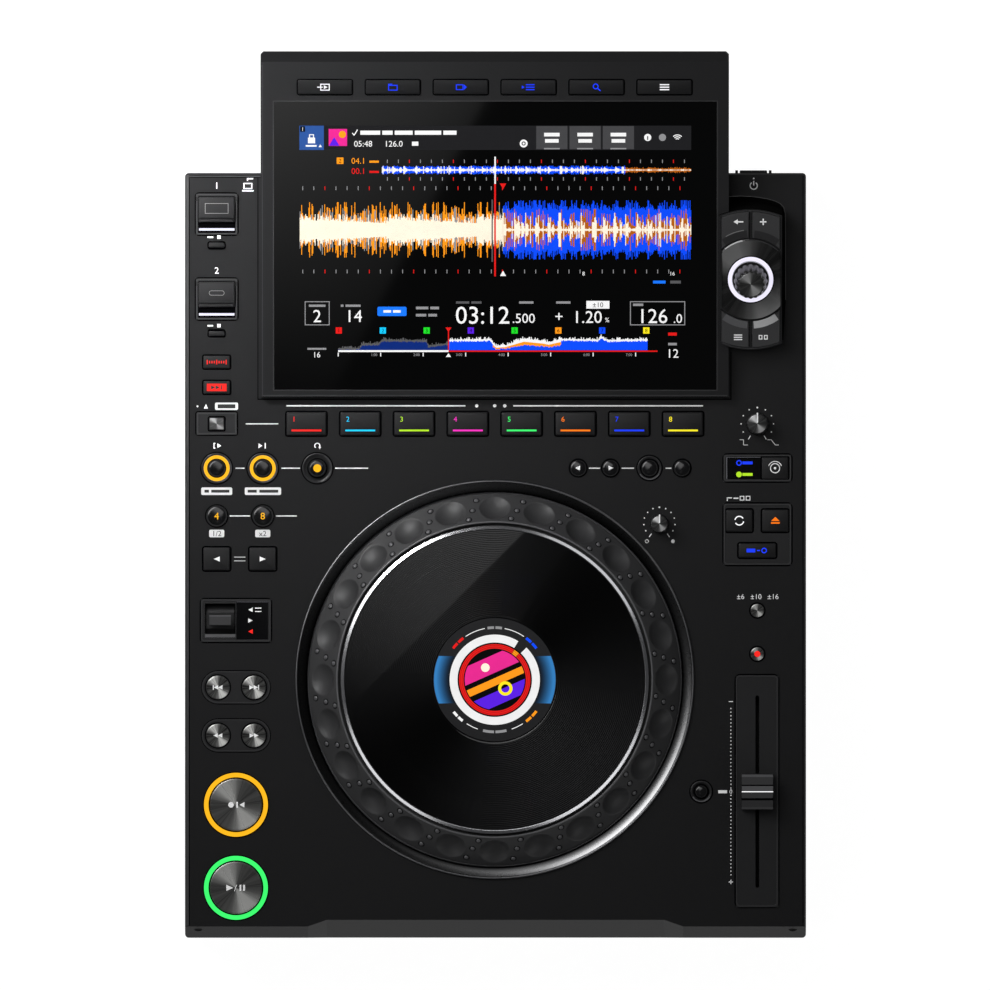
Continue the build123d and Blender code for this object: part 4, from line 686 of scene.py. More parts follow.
for x, amount in ((OUT_X, "4"), (IN_X, "8")):
    on("beat_loop_keys", LED_AMBER, digits(amount, 0, 0, 3.6), 0.45, 0.08, (x, BEAT_Y))
for x, way in ((43.5, "left"), (61.2, "right")):
    on("cue_call_keys", WHITE, arrow(0, 0, 2.6, 2.5, way), 0.45, 0.08, (x, CUE_Y))
on("reloop_key", LED_AMBER, disc(0, 0, 2.1), 0.4)

# The dished rings that small round keys stand in
for name, x, y, r in (("reloop_rim", *centre("reloop_key"), 8.3), ("loop_in_rim", OUT_X, LOOP_Y, 8.4),
                      ("loop_out_rim", IN_X, LOOP_Y, 8.4), ("reset_rim", *centre("tempo_reset_key"), 6),
                      ("delete_rim", 81.6, CUE_Y, 6.7)):
    well = [(r - inset, z) for inset, z in ((1.9, 79.4), (1.9, 79.6), (1, 80.3), (0.5, 80.35), (0.3, 80.2),
                                            (0.3, 79.4))]
    piece(name, *lathe(well, (x, y), 64), MATS["insert"], "chassis", "insert", smooth=50)
    # One side of each ring's top is drawn lighter: a painted highlight
    a0, a1, tone = (-70, 60, SOFT_HIGHLIGHT) if "loop_" in name else (212, 328, EDGE_HIGHLIGHT)
    ink(tone, ring(x, y, r - 1.05, r - 0.5, a0, a1, 24), DECK + 0.35, lift=0.06)
    ink(GROOVE_AND_SHADE, ring(x, y, r - 0.3, r + 0.4))
for x in (OUT_X, IN_X):
    ink(LED_AMBER, ring(x, LOOP_Y, 5.1, 6.85), PLATE, lift=0.06)
ink(GREY_PRINT_AND_HIGHLIGHT, dashes(LOOP_Y, (-137.7, -133), (-113.4, -103.6), (-84.9, -67.5), (49.5, 55.4), (66.8, 73.4),
                 (90.1, 93.2))
    + dashes(BEAT_Y, (-140.8, -130), (-116.3, -105.2)) + dashes(CALL_Y, (-132.3, -115.1)))

# Label boxes with dark bars or fractions in them, and the marks over the loop keys
for x, y, w, h in ((OUT_X, 2, 16.4, 4), (-123.2, 2, 19.2, 4), (OUT_X, -20.4, 8, 4), (IN_X, -20.4, 8, 4),
                   (-142.5, 47, 12.2, 3.9)):
    ink(GREY_PRINT_AND_HIGHLIGHT, [rounded_loop(x, y, w, h, 0.8)])
for x, y, w, h in ((OUT_X - 5.3, 2, 2.4, 1.5), (OUT_X + 1.9, 2, 9.6, 1.5), (-128.9, 2, 4.8, 1.5),
                   (-120.1, 2, 10, 1.5), (-142.5, 47, 9.4, 2.1)):
    ink(BLACK_PRINT, bar(x, y, w, h), lift=0.08)
ink(BLACK_PRINT, digits("1/2", OUT_X, -20.4, 2.8) + digits("x2", IN_X, -20.4, 2.8), lift=0.08)
ink(WHITE, outline(OUT_X - 1.2, 26.1, 1, 3, 0.5)[:3] + arrow(OUT_X + 1.4, 26.1, 2, 2.4, "right")
    + arrow(IN_X - 1.2, 26.1, 2, 2.4, "right") + bar(IN_X + 1.3, 26.1, 0.6, 3)
    + ring(-94.4, 26.1, 1.1, 1.6, -50, 230, 20) + arrow(-93.1, 24.9, 1.5, 1.3, "down")
    + disc(-157.9, 47, 0.5) + arrow(-153.4, 47, 2.2, 2.4, "up"))

# Call and delete key in its frame, with a turned square in the middle that carries a painted highlight fan
keys("call_delete_key", [(CALL_X, CALL_Y)], 8.1, 6.7, 0.5, 0.4, PLATE)
metal = spun("spun_call", (CALL_X, CALL_Y), (150, 150, 150), 0.15, 1.3, 4, 0.3, 125)
piece("call_face", *cap_mesh([(CALL_X, CALL_Y)], 7.4, 6, 80.5, 81, 0.4, 0.2), metal, "call_delete_key",
      "key_metal")

# Frames: raised rounded rims with dark joints
USB_Y = (148.8, 103.8)
FRAMES = [(OUT_X, USB_Y[0], 21.9, 21.7, 1.5), (OUT_X, USB_Y[1], 21.9, 21.7, 1.5), (OUT_X, 37.9, 21.3, 11.8, 0.9),
          (-137.5, -66.5, 37, 22.6, 1.8), (138.8, CUE_Y, 35.8, 14.2, 1.8), (138.8, -20.8, 35.8, 32.5, 2),
          (138.5, -156.8, 22.3, 122.6, 2.2)]


def frame_rim(name, x, y, w, h, corner, width, high, material=TRIM_DARK):
    piece(name, *rim_mesh(x, y, w, h, corner, width, 79.9, high), material, "chassis", "insert", smooth=40)


for i, (x, y, w, h, corner) in enumerate(FRAMES, 1):
    frame_rim(f"frame_rim_{i}", x, y, w, h, corner, 0.9, 81 if h > 100 else 80.55)
    seam(x, y, w, h, 0.75, DECK, corner)
for i, name in enumerate(("track_keys", "search_keys"), 1):
    x, y = centre("track_keys")[0], centre(name)[1]
    frame_rim(f"capsule_rim_{i}", x, y, 36.2, 17.2, 8.5, 0.8, 80.5)
    seam(x, y, 36.2, 17.2, 0.5, DECK, 8.6)
    for side in (-1, 1):
        ink(GROOVE_AND_SHADE, ring(x + side * PAIR, y, TRACK_R, 7), PLATE, lift=0.04)
x, y, w, h, corner = FRAMES[-1]
# The slider frame's inner rim in a lighter tone: a painted highlight
frame_rim("slider_rim_inner", x, y, w - 3, h - 3, corner - 0.6, 0.55, 80.6, EDGE_HIGHLIGHT)
seam(x, y, w - 1.9, h - 1.9, 1, PLATE, corner - 0.4)

# USB covers, lamps and legends
low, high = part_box("usb_stop_keys")
STOP_Y = (high.y / MM - 1.3, low.y / MM + 1.3)
for i, (frame_y, stop_y) in enumerate(zip(USB_Y, STOP_Y), 1):
    name = f"usb_door_{i}"
    x, y = OUT_X, frame_y + 3.2
    flap, flap_faces = cap_mesh([(x, y)], 19.3, 11.4, 80.4, 82.2, 0.6, 0.5)
    lip, lip_faces = cap_mesh([(x, y - 6.6)], 18.3, 1.7, 80.4, 81.5, 0.3, 0.3)
    flap_faces += [tuple(len(flap) + v for v in face) for face in lip_faces]
    o = piece(name + "_flap", flap + lip, flap_faces, MATS["door"], name, "insert")
    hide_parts(name)
    oval = (ring(-2.8, 0, 1.05, 1.3, 90, 270, 12) + ring(2.8, 0, 1.05, 1.3, -90, 90, 12)
            + stack(0, 0, 5.6, 0.26, 1.17, -1.17))
    ink(MARK_AND_HIGHLIGHT, shifted(outline(0, -0.2, 12.4, 5.5, 0.28) if i == 1 else oval, x, y), 82.2, name)
    ink(GROOVE_AND_SHADE, corners(x - 9.9, frame_y - 10, x + 9.9, frame_y - 4.4), PLATE, lift=0.03)
    seam(x, y - 0.88, 19.3, 13.2, 0.5, DECK + 0.35, 0.6)
    ink(LED_RING, bar(x, frame_y - 8.1, 18.8, 1.25), PLATE, lift=0.07)
    ink(WHITE, digits(str(i), x, frame_y + 15.2, 3.4))
    ink(WHITE, bar(x - 3.4, stop_y + 4.2, 3, 0.8) + bar(x + 1.2, stop_y + 4.2, 1.8, 1.8))
keys("usb_stop_keys", [(OUT_X, y) for y in STOP_Y], 8.3, 2.6, 0.5, 0.35)
ink(WHITE, shifted(outline(0, 0.8, 4.6, 3.2, 0.5) + bar(0, -1.7, 6, 0.6) + line(-0.2, 3.6, -0.2, 4.9, 0.5)
                   + line(-0.4, 4.7, 2.8, 4.7, 0.6), -131.2, 162.9))

# Direction lever, its plate and window
ink(WINDOW, corners(-137.3, -56.7, -120.5, -76.5), PLATE)
for y, way, mark in ((-60.8, "left", WHITE), (-66.5, "right", WHITE), (-72.3, "left", LED_RED)):
    ink(mark, arrow(-129.8, y, 2.4, 2.4, way), PLATE, lift=0.1)
for y in (-59.9, -61.7):
    ink(WHITE, line(-127.4, y, -124, y, 0.5), PLATE, lift=0.1)
# A lighter strip under the lever, and on it a lighter patch with a brighter line along its edge: painted
# highlights
ink(EDGE_HIGHLIGHT, corners(-154, -73.7, -137.9, -75.4), PLATE)
on("direction_lever", SOFT_HIGHLIGHT, corners(-151.6, -68.9, -140.1, -63.8), at=(0, 0), lift=0.04)
on("direction_lever", EDGE_HIGHLIGHT, corners(-151.6, -64.3, -140.1, -63.7), at=(0, 0), lift=0.06)

# Track, search, cue and play
for name, far, near in (("track_keys", 10.6, 8.3), ("search_keys", 10.8, 8.4)):
    for side, way in ((-1, "left"), (1, "right")):
        on(name, WHITE, arrow(side * far, 0, 2.4, 2.4, way) + arrow(side * near, 0, 2.4, 2.4, way), 0.08)
        if name == "track_keys":
            on(name, WHITE, bar(side * 12, 0, 0.5, 2.6), 0.08)
on("play_key", WHITE, arrow(-3.3, 0, 3.6, 3.4, "right") + line(-0.9, -1.7, 0.5, 1.7, 0.35)
   + bar(2.4, 0, 1, 3.2) + bar(4.3, 0, 1, 3.2), 0.08)
on("cue_key", WHITE, disc(-2.6, 0, 1.5) + bar(0.6, 0, 0.9, 3.2) + arrow(3.2, 0, 2.6, 3, "left"), 0.08)
for name, lamp in (("play_key", LED_GREEN), ("cue_key", LED_AMBER)):
    ink(lamp, ring(*centre(name), 14.55, 16.95, n=96), PLATE, lift=0.06)
    for r0, r1 in ((PLAY_R, 14.55), (16.95, 17.5)):
        ink(GROOVE_AND_SHADE, ring(*centre(name), r0, r1, n=96), PLATE)

# Knob scales
for name, r, ends, step, up in (("jog_feel_knob", 8.3, 6, 24, 0.5), ("vinyl_speed_knob", 8.6, 5, 30, 0)):
    x, y = centre(name)
    y += up
    for k in range(-ends, ends + 1):
        c, s = cos(radians(90 - k * step)), sin(radians(90 - k * step))
        ink(WHITE, disc(x + r * c, y + r * s, 0.38 if k else 0.5, 10) if abs(k) < ends else
            line(x + (r - 1.3) * c, y + (r - 1.3) * s, x + (r + 0.9) * c, y + (r + 0.9) * s, 0.4))
x, y = centre("vinyl_speed_knob")
for points in ([(-9.3, -8.4), (-7.3, -8.4), (-7.3, -11.2), (-5, -11.2)],
               [(5.4, -8.4), (7.3, -8.4), (9.6, -11.2), (11.4, -11.2)]):
    for (ax, ay), (bx, by) in zip(points, points[1:]):
        ink(GREY_PRINT_AND_HIGHLIGHT, line(x + ax, y + ay, x + bx, y + by, 0.35))
x, y = centre("jog_feel_knob")
ink(GREY_PRINT_AND_HIGHLIGHT, ring(x - 6.6, y - 9.2, 0.7, 1, n=16) + disc(x + 7.2, y - 9.2, 1, 16))

# Mode and sync plates
keys("jog_mode_key", [centre("jog_mode_key")], 14.1, 11.8, z=PLATE)
on("jog_mode_key", WHITE, ring(0, 0, 2.2, 2.7, n=24) + disc(0, 0, 0.7, 12) + ring(0, 0, 3.4, 3.8, 20, 160, 16))
ink(WINDOW, corners(122.6, 19.9, 140.3, 8.4), PLATE)
ink(LED_BLUE, ring(129, 17, 0.9, 1.5, n=20) + bar(133.5, 17, 5.4, 1.5), PLATE, lift=0.1)
ink(LED_LIME, disc(129, 10.9, 1.5, 20) + bar(133.5, 10.9, 5.4, 1.5), PLATE, lift=0.1)
x, y = centre("sync_keys")
keys("sync_keys", [(x - PAIR, y), (x + PAIR, y)], 14.1, 11.8, z=PLATE)
on("sync_keys", LED_WHITE, ring(-PAIR, 0, 2, 2.6, 30, 170, 16) + ring(-PAIR, 0, 2, 2.6, 210, 350, 16))
on("sync_keys", LED_ORANGE, arrow(PAIR, 0.9, 4.6, 2.2, "up") + bar(PAIR, -1.2, 4.6, 0.8))
keys("key_sync_key", [centre("key_sync_key")], 19.9, 7.6, 0.9, 0.5, PLATE)
on("key_sync_key", LED_BLUE, bar(-3.4, 0, 4.6, 2) + ring(3.6, 0, 0.9, 1.5, n=20) + bar(0.6, 0, 1.6, 0.6))
ink(WHITE, line(122.8, -3.2, 122.8, -1.4, 0.5) + line(122.5, -1.5, 125.3, -1.5, 0.5)
    + bar(127.4, -1.7, 2.6, 0.7) + outline(130.6, -1.7, 2.4, 2.4, 0.4) + outline(133.8, -1.7, 2.4, 2.4, 0.4))

# Tempo keys, scale and slider
for name in ("tempo_range_key", "master_tempo_key"):
    metal_key(name, name, *centre(name), TEMPO_R, 0.1, 2.8)
    ink(GROOVE_AND_SHADE, ring(*centre(name), TEMPO_R, 4.4))
on("master_tempo_key", LED_RED, disc(0, 0, 1.6), 0.08)
for text, x in (("±6", 129.8), ("±10", 138), ("±16", 147)):
    ink(WHITE, digits(text, x, -53.8, 2.7))
x = 124.7
for k in range(47):
    if k != 23:
        ink(WHITE, bar(x, -113.1 - k * 1.915, 0.55, 0.55))
ink(WHITE, bar(x, -109.4, 2.2, 0.4) + bar(x, -205, 2.2, 0.45) + bar(x, -205, 0.45, 2.2))
ink(WHITE, corners(118, -156.4, 122.7, -158))
ink(WHITE, digits("0", x, -157.1, 2.3), lift=0.08)
# On the slider's flat cap, lighter bands and brighter lines are painted highlights, beside a darker band and dark
# lines
for tone, y0, y1, lift in ((SOFT_HIGHLIGHT, -160.5, -154.1, 0.05), (SOFT_HIGHLIGHT, -153.4, -149.3, 0.05),
                           (SOFT_HIGHLIGHT, -166.4, -165.2, 0.05), (EDGE_HIGHLIGHT, -149.3, -148, 0.05),
                           (TRIM_DARK, -165.2, -161.7, 0.05), (EDGE_HIGHLIGHT, -156.3, -154.1, 0.08)):
    on("tempo_slider", tone, corners(130.4, y0, 146.9, y1), lift=lift, at=(0, 0))
for y0, y1 in ((-154.1, -153.4), (-161.6, -160.5)):
    on("tempo_slider", GROOVE_AND_SHADE, corners(130.2, y0, 147, y1), lift=0.1, at=(0, 0))
on("tempo_slider", LED_WHITE, bar(0, 0, 16.6, 0.55), lift=0.12)

# Power mark
ink(WHITE, ring(136.8, 163.9, 1.6, 2.2, -235, 55, 24) + bar(136.8, 165.2, 0.6, 2.4) + disc(136.8, 167.7, 0.45, 10))

# The deck's rolled border, a painted highlight beside dark lines, the joint round the hood's foot, and painted
# highlight lines along the hood's front and left edges
LEFT, RIGHT, REAR, FRONT, HOOD_SIDE = -164.4, 164.4, 170.4, -228.1, -124.5
ink(SOFT_HIGHLIGHT, corners(LEFT + 0.5, FRONT, LEFT + 1.9, REAR - 1)
    + corners(LEFT + 1, REAR - 1.9, HOOD_SIDE, REAR - 1.5), lift=0.03)
ink(GROOVE_AND_SHADE, corners(LEFT + 1.9, FRONT, LEFT + 2.4, REAR - 1.9)
    + corners(LEFT + 1.9, REAR - 2.4, HOOD_SIDE, REAR - 1.9)
    + corners(RIGHT - 1.7, FRONT, RIGHT - 1.3, REAR - 1.3), lift=0.04)
ink(GROOVE_AND_SHADE, corners(-126.1, 50.5, -125.6, 168.5) + corners(-126.1, 50.4, 125, 51)
    + corners(124.5, 50.5, 125, 75.8))
# Painted highlight lines along the hood's front and left edges
ink(SOFT_HIGHLIGHT, corners(-123.5, 52.5, 122.8, 52.9) + corners(-123.5, 52.5, -123.2, 227.3), hood, lift=0.04)

# Painted shade round the selector's tower: a black sheet on the flat deck, from points on a grid of 0.5298 mm,
# with a lighter line along its rim as a painted highlight
GRID, GRID_X, GRID_Y = 0.5298, 495.5, 495
recess = [(729, 196.4), (741, 196), (753.6, 196.7), (767, 198.7), (775, 201), (780.4, 203.6), (783.8, 207.4),
          (785.4, 214), (785.6, 300), (783.4, 340)]
edge = [((px - GRID_X) * GRID, (GRID_Y - py) * GRID) for px, py in recess]
ink(RECESS_SHADE, [edge + [(edge[0][0], edge[-1][1])]], lift=0.03)
for (ax, ay), (bx, by) in zip(edge[:-1], edge[1:-1]):
    ink(TRIM_DARK, line(ax, ay, bx, by, 0.35))


# ---- the touch display
UI = {name: glow("ui_" + name, rgb) for name, rgb in {
    "bar": (28, 28, 30), "button": (66, 66, 68), "tile": (44, 82, 150), "white": (238, 238, 238),
    "grey": (140, 140, 142), "dim": (84, 84, 86), "red": (222, 26, 24), "orange": (250, 150, 24),
    "brown": (176, 92, 18), "cream": (252, 238, 216), "blue": (10, 74, 246), "navy": (10, 40, 116),
    "pill": (24, 116, 250), "green": (30, 216, 40), "cyan": (20, 200, 250), "violet": (88, 30, 220),
    "yellow": (250, 230, 30), "magenta": (226, 40, 140), "black": (1, 1, 1)}.items()}


def ui(colour, polygons, level=1):
    ink(UI[colour], polygons, hood, lift=0.02 + 0.03 * level)


ui("bar", corners(-103.7, 195.3, 103.5, 182.5))
ui("tile", corners(-103.7, 195.3, -90.8, 182.5), 2)
ui("black", corners(-103.3, 195, -100.7, 192.1), 3)
ui("white", outline(-97.3, 189.7, 2.6, 2.2, 0.5) + bar(-97.3, 187.5, 3.8, 3), 3)
ui("white", corners(-100.4, 185.1, -94.6, 184.2) + arrow(-92.7, 184.7, 1.8, 1.5, "up"), 3)
ui("magenta", corners(-88.2, 193.6, -78.5, 184.6), 2)
ui("violet", arrow(-85.3, 187, 5.6, 4.6, "up"), 3)
ui("orange", disc(-81, 190.7, 1.9, 20), 3)
ui("white", line(-75.8, 191.5, -74.7, 190.2, 0.5) + line(-74.8, 190.2, -73, 193.2, 0.5), 3)
ui("white", ring(14.9, 185.9, 1.1, 2.1, n=20) + disc(14.9, 185.9, 0.6, 12), 3)
for x in (29.8, 47.4, 65):
    ui("button", bar(x, 189, 16.5, 12.2), 2)
    ui("white", bar(x, 190.6, 8.2, 1.9) + bar(x, 187.3, 7.2, 1.9), 3)
    ui("grey", bar(x, 183.2, 8.4, 0.7), 3)
ui("white", disc(80.5, 189.1, 1.9, 24), 3)
ui("bar", bar(80.5, 188.8, 0.6, 2), 4)
ui("grey", disc(88.3, 189.1, 1.9, 24), 3)
for r in (0.9, 1.9, 2.9):
    ui("white", ring(96.2, 187.3, r, r + 0.5, 45, 135, 10), 3)
ui("orange", bar(-82.2, 176.8, 3.6, 3.4))
ui("grey", outline(-94.4, 96.2, 13.2, 12.7, 0.45) + outline(85.8, 96.2, 29.2, 12.7, 0.45))
ui("pill", [rounded_loop(-54.8, 97.2, 15.4, 4.9, 0.8)])
ui("white", bar(54.2, 100.7, 12.2, 4.1))

for colour, level, *rows in (
        ("white", 4, ("1", -102, 193.5, 1.9)),
        ("white", 3, ("05:48", -70, 185.8, 3.1), ("126.0", -53.9, 185.8, 3.1)),
        ("black", 2, ("2", -82.2, 176.8, 2.2), ("±10", 54.2, 100.7, 2.6)),
        ("orange", 1, ("04.1", -72.5, 176.8, 3.1)), ("red", 1, ("00.1", -72.5, 171.4, 3.1)),
        ("white", 2, ("8", 46.6, 117.2, 2), ("16", 93.5, 117.2, 2)),
        ("white", 1, ("2", -94.4, 94.8, 6.6), ("14", -75, 94.8, 6.4), ("03:12", -6.8, 95.3, 9.2),
         (".500", 14.9, 93.6, 5), ("+", 33.6, 94.5, 5.6), ("1.20", 48.7, 94.3, 6.4), ("%", 59.1, 92.7, 2.4),
         ("126", 83.2, 94.8, 7.6), (".0", 96.5, 93.5, 4.8), ("16", -94.7, 74.3, 2.9), ("12", 93.8, 75, 4.6))):
    for row in rows:
        ui(colour, digits(*row), level)

# Blank bars where a display would carry words: x where they start, y, height, then their widths
for colour, level, *rows in (
        ("white", 3, (-71.5, 191.6, 2.2, 10.5, 5.5, 9.5, 14, 7), (-44.2, 185.8, 2.2, 3.4)),
        ("white", 2, (-59.3, 97.2, 1.3, 4, 4)), ("orange", 1, (-66.7, 176.3, 1.1, 5)),
        ("red", 1, (-66.7, 170.9, 1.1, 5), (91.4, 85.2, 1.6, 4.6)), ("pill", 1, (83.4, 112.7, 1.5, 6.6)),
        ("dim", 1, (92.5, 112.7, 1.5, 5.6), (-20.9, 101.9, 1.2, 7, 5.4)),
        ("grey", 1, (-98.8, 100.2, 1.2, 8.8), (-81.9, 100.2, 1.2, 1.4, 8), (-42.1, 99, 1.4, 6.5, 4.6),
         (-42.1, 95.2, 1.4, 5.4, 4.6), (12.5, 101.9, 1.2, 7.6), (32.1, 101.9, 1.2, 7.6), (72.8, 100.7, 1.3, 5.4),
         (-99.6, 77.4, 1, 10), (91.4, 79.9, 1.3, 4.6))):
    for x, y, h, *widths in rows:
        for w in widths:
            ui(colour, corners(x, y - h / 2, x + w, y + h / 2), level)
            x += w + 1.1

# Beat marks, the small and the large wave
WAVE_END, WAVE_Y, SMALL_Y, BEAT, STEP = 103.4, 140.3, 171.9, 5.87, 0.42
for k in range(35):
    tone = "red" if k % 4 == 2 else "grey"
    ui(tone, stack(-102 + k * BEAT, 0, 0.42, 2, 162.3, 118.3))
    x = -57.2 + k * 5.82
    if x < WAVE_END:
        ui(tone, stack(x, 0, 0.42, 1.8, 176.5, 167.2))


def wave(x0, x1, y, *layers):
    """Mirrored bars along a line. Each layer is (colour, lowest, highest, beat length, decay)."""
    x = x0
    while x < x1:
        for level, (colour, low, high, beat, fall) in enumerate(layers, 1):
            pulse = max(0, 1 - ((x - x0) % beat) / (beat * fall))
            h = low + (high - low) * min(1, pulse * (0.35 + 0.5 * random.random()) + 0.9 * random.random() ** 4)
            ui(colour, bar(x + STEP / 2, y, STEP * 0.98, 2 * h), level)
        x += STEP


wave(-103.6, 3.9, WAVE_Y, ("orange", 4.4, 14.6, 4.7, 0.8), ("grey", 3, 13, 11.7, 0.12),
     ("cream", 3.4, 8.2, 47, 1))
wave(4, WAVE_END, WAVE_Y, ("blue", 9, 15.6, BEAT, 1.6), ("brown", 2, 11, BEAT, 0.7),
     ("cream", 0.4, 9, BEAT, 0.3))
wave(-60.1, 68.6, SMALL_Y, ("blue", 1.4, 2.3, BEAT, 1), ("white", 0.3, 2.2, BEAT, 0.3))
wave(68.6, WAVE_END, SMALL_Y, ("brown", 0.6, 1.5, 11.7, 1), ("cream", 0.1, 0.5, BEAT, 0.4))
ui("white", corners(-0.6, 178.9, 0.2, 164.6), 5)
ui("red", corners(-0.7, 164.6, 0.2, 115.7), 5)
ui("dim", corners(-2.1, 156.3, -1.4, 123.4), 4)
ui("red", arrow(4, 163.3, 3.4, 3, "down"), 2)
ui("white", arrow(4, 117.3, 3.2, 2.8, "up"), 2)

# Marks and the whole track
CUES = ((338.9, "red"), (382.9, "cyan"), (426.7, "green"), (470.8, "violet"), (514.6, "green"),
        (558.3, "orange"), (602.1, "blue"), (646.2, "yellow"))
for i, (px, colour) in enumerate(CUES, 1):
    x = (px - GRID_X) * GRID
    ui(colour, bar(x, 87.1, 3.3, 3.3))
    ui("black", digits(str(i), x, 87.1, 2), 2)
TRACK_START, TRACK_END, NOW, TRACK_Y = -83.3, 80.3, -24.9, 76.7
ui("red", arrow(NOW, 87.5, 3.2, 2.4, "down") + corners(NOW - 0.3, 86.9, NOW + 0.3, TRACK_Y + 0.1), 5)
TRACK = ((0, 0.5), (0.068, 0.6), (0.075, 2.8), (0.13, 3), (0.14, 5), (0.285, 4.6), (0.29, 1.8), (0.355, 3.2),
         (0.36, 5), (0.49, 5.2), (0.51, 1.6), (0.54, 2), (0.6, 5.6), (0.66, 4.4), (0.68, 3.6), (0.72, 5.4),
         (0.84, 5), (0.85, 6.6), (0.87, 4.8), (1, 5.2))


def height_at(t, points):
    """The height of a line through points at t."""
    for (t0, h0), (t1, h1) in zip(points, points[1:]):
        if t0 <= t <= t1:
            return h0 + (h1 - h0) * (t - t0) / (t1 - t0)
    return points[-1][1]


x = TRACK_START
while x < TRACK_END:
    t = (x - TRACK_START) / (TRACK_END - TRACK_START)
    played = x < NOW
    level = height_at(t, TRACK)
    crest = level + 1.4 * random.random() ** 2
    ui("dim" if played else "white", corners(x, TRACK_Y, x + STEP, TRACK_Y + crest + 0.5))
    if 0.5 < t < 0.72:
        ui("orange", corners(x, TRACK_Y, x + STEP, TRACK_Y + level * 0.8), 2)
        level = max(1, level * 0.55)
    ui("navy" if played else "blue", corners(x, TRACK_Y, x + STEP, TRACK_Y + level - 0.7 * random.random()), 3)
    x += STEP
ui("white", corners(TRACK_START, TRACK_Y, NOW, TRACK_Y - 1), 4)
ui("red", corners(NOW, 76.5, 85.8, 75.8), 4)
for k in range(8):
    ui("white", bar(TRACK_START + k * 22.5, 74.4, 0.5, 2))
    if k:
        ui("grey", digits(f"{k}:00", -86.8 + k * 22.5, 74.3, 1.4))
ui("white", arrow(NOW, 74.1, 2.8, 2, "up"), 2)

# A thin lit edge round the glass
gx0, gx1, gy0, gy1 = -117.3, 117.2, 55.7, 208.1
ink(SOFT_HIGHLIGHT, corners(gx0, gy1, gx1, gy1 + 0.4) + corners(gx0 - 0.4, gy0, gx0, gy1 + 0.4)
    + corners(gx1, gy0, gx1 + 0.4, gy1 + 0.4) + corners(gx0 - 0.4, gy0 - 0.4, gx1 + 0.4, gy0), hood)

# Menu keys along the top, with common marks
MENU = [(-0.4 + (k - 2.5) * 35.9, centre("menu_keys")[1]) for k in range(6)]
caps = cap_mesh(MENU, 28.6, 7.4, -2.2, 0.82, 0.8, 0.4, hood)
o = piece("menu_keys_caps", *caps, MATS["key"], "menu_keys", "key")
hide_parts("menu_keys")
MARKS = (outline(0, 0, 5, 3.6, 0.5) + arrow(0.4, 0, 2, 2, "right") + bar(-2.6, 0, 3, 0.5),
         outline(0, -0.3, 5, 3, 0.5) + bar(-1.4, 1.5, 2.2, 0.6),
         outline(-0.6, 0, 4, 3, 0.5) + arrow(2.4, 0, 1.6, 3, "right"),
         stack(0.8, 0, 4.6, 0.55, 1.3, 0, -1.3) + arrow(-2.9, 0, 1.5, 1.8, "right"),
         ring(-0.5, 0.4, 1, 1.55, n=24) + line(0.6, -0.7, 2.1, -2, 0.6),
         stack(0, 0, 5, 0.6, 1.3, 0, -1.3))
for k, ((x, y), mark) in enumerate(zip(MENU, MARKS)):
    seam(x, y, 28.6, 7.4, 0.7, hood, 0.8, lift=0.06)
    ink(LED_WHITE if k in (0, 5) else LED_BLUE, shifted(mark, x, y), hood, "menu_keys", lift=0.89)

# ---- the round display in the wheel
JX, JY = JOG


def on_jog(material, polygons, level=2):
    ink(material, polygons, top("jog_display"), lift=0.03 + 0.03 * level)


def jog_ring(material, r0, r1, a0=0, a1=360, n=90, level=2):
    on_jog(material, ring(JX, JY, r0, r1, a0, a1, n), level)


def side_patch(sign):
    """The lit patch at one side, between the white ring and the edge, cut off above and below."""
    def spot(r, a):
        return JX + sign * r * cos(radians(a)), JY + r * sin(radians(a))
    quads = []
    for i in range(46):
        near, far = (round(k * 62 / 46) - 31 for k in (i, i + 1))
        quads.append([spot(32.2, i - 23), spot(32.2, i - 22), spot(24.1, far), spot(24.1, near)])
    return quads


def band(low, high, angle=24, r=15.9):
    """The part of a disc between two parallel lines, turned by angle."""
    side = [(sqrt(r * r - v * v), v) for v in (low + (high - low) * k / 12 for k in range(13))]
    c, s = cos(radians(angle)), sin(radians(angle))
    return [[(JX + x * c - v * s, JY + x * s + v * c) for x, v in side + [(-x, v) for x, v in reversed(side)]]]


on_jog(JOG_FACE, disc(JX, JY, 32.6, 96), 0)
on_jog(JOG_SIDE, side_patch(1) + side_patch(-1), 1)
GAP = 52  # where the rings have their gap, in degrees
jog_ring(JOG_WHITE, 19.7, 23.9, GAP + 6.5, GAP + 353.5)
jog_ring(UI["black"], 18.9, 19.7, level=1)
on_jog(UI["black"], disc(JX, JY, 16.4, 64), 1)
jog_ring(UI["red"], 16.5, 18.9, GAP + 5, GAP + 355)
jog_ring(UI["orange"], 16.5, 18.9, GAP - 4.5, GAP + 4.5, 6)
for r in (17.2, 18.2):
    jog_ring(UI["black"], r, r + 0.12, level=3)
on_jog(UI["magenta"], band(3.4, 12.4))
on_jog(UI["orange"], band(-3, 0.8))
on_jog(UI["violet"], band(-13, -6))
on_jog(UI["yellow"], ring(JX + 5.6, JY - 4.6, 2.2, 3.8, n=40), 3)
on_jog(UI["cream"], disc(JX - 5, JY + 6.4, 2.3, 32), 3)
for a0, a1 in ((101, 124), (56, 79), (237.5, 251), (289, 302.5)):
    jog_ring(UI["white"], 27.4, 27.8, a0, a1, 16)
for a, w, m in ((135, 8, "red"), (45, 8, "blue"), (225, 7, "white"), (315, 8, "orange"), (90, 8, "grey"),
                (270, 13, "grey")):
    jog_ring(UI[m], 26.9, 28.3, a - w, a - 0.8, 8)
    jog_ring(UI[m], 26.9, 28.3, a + 0.8, a + w, 8)

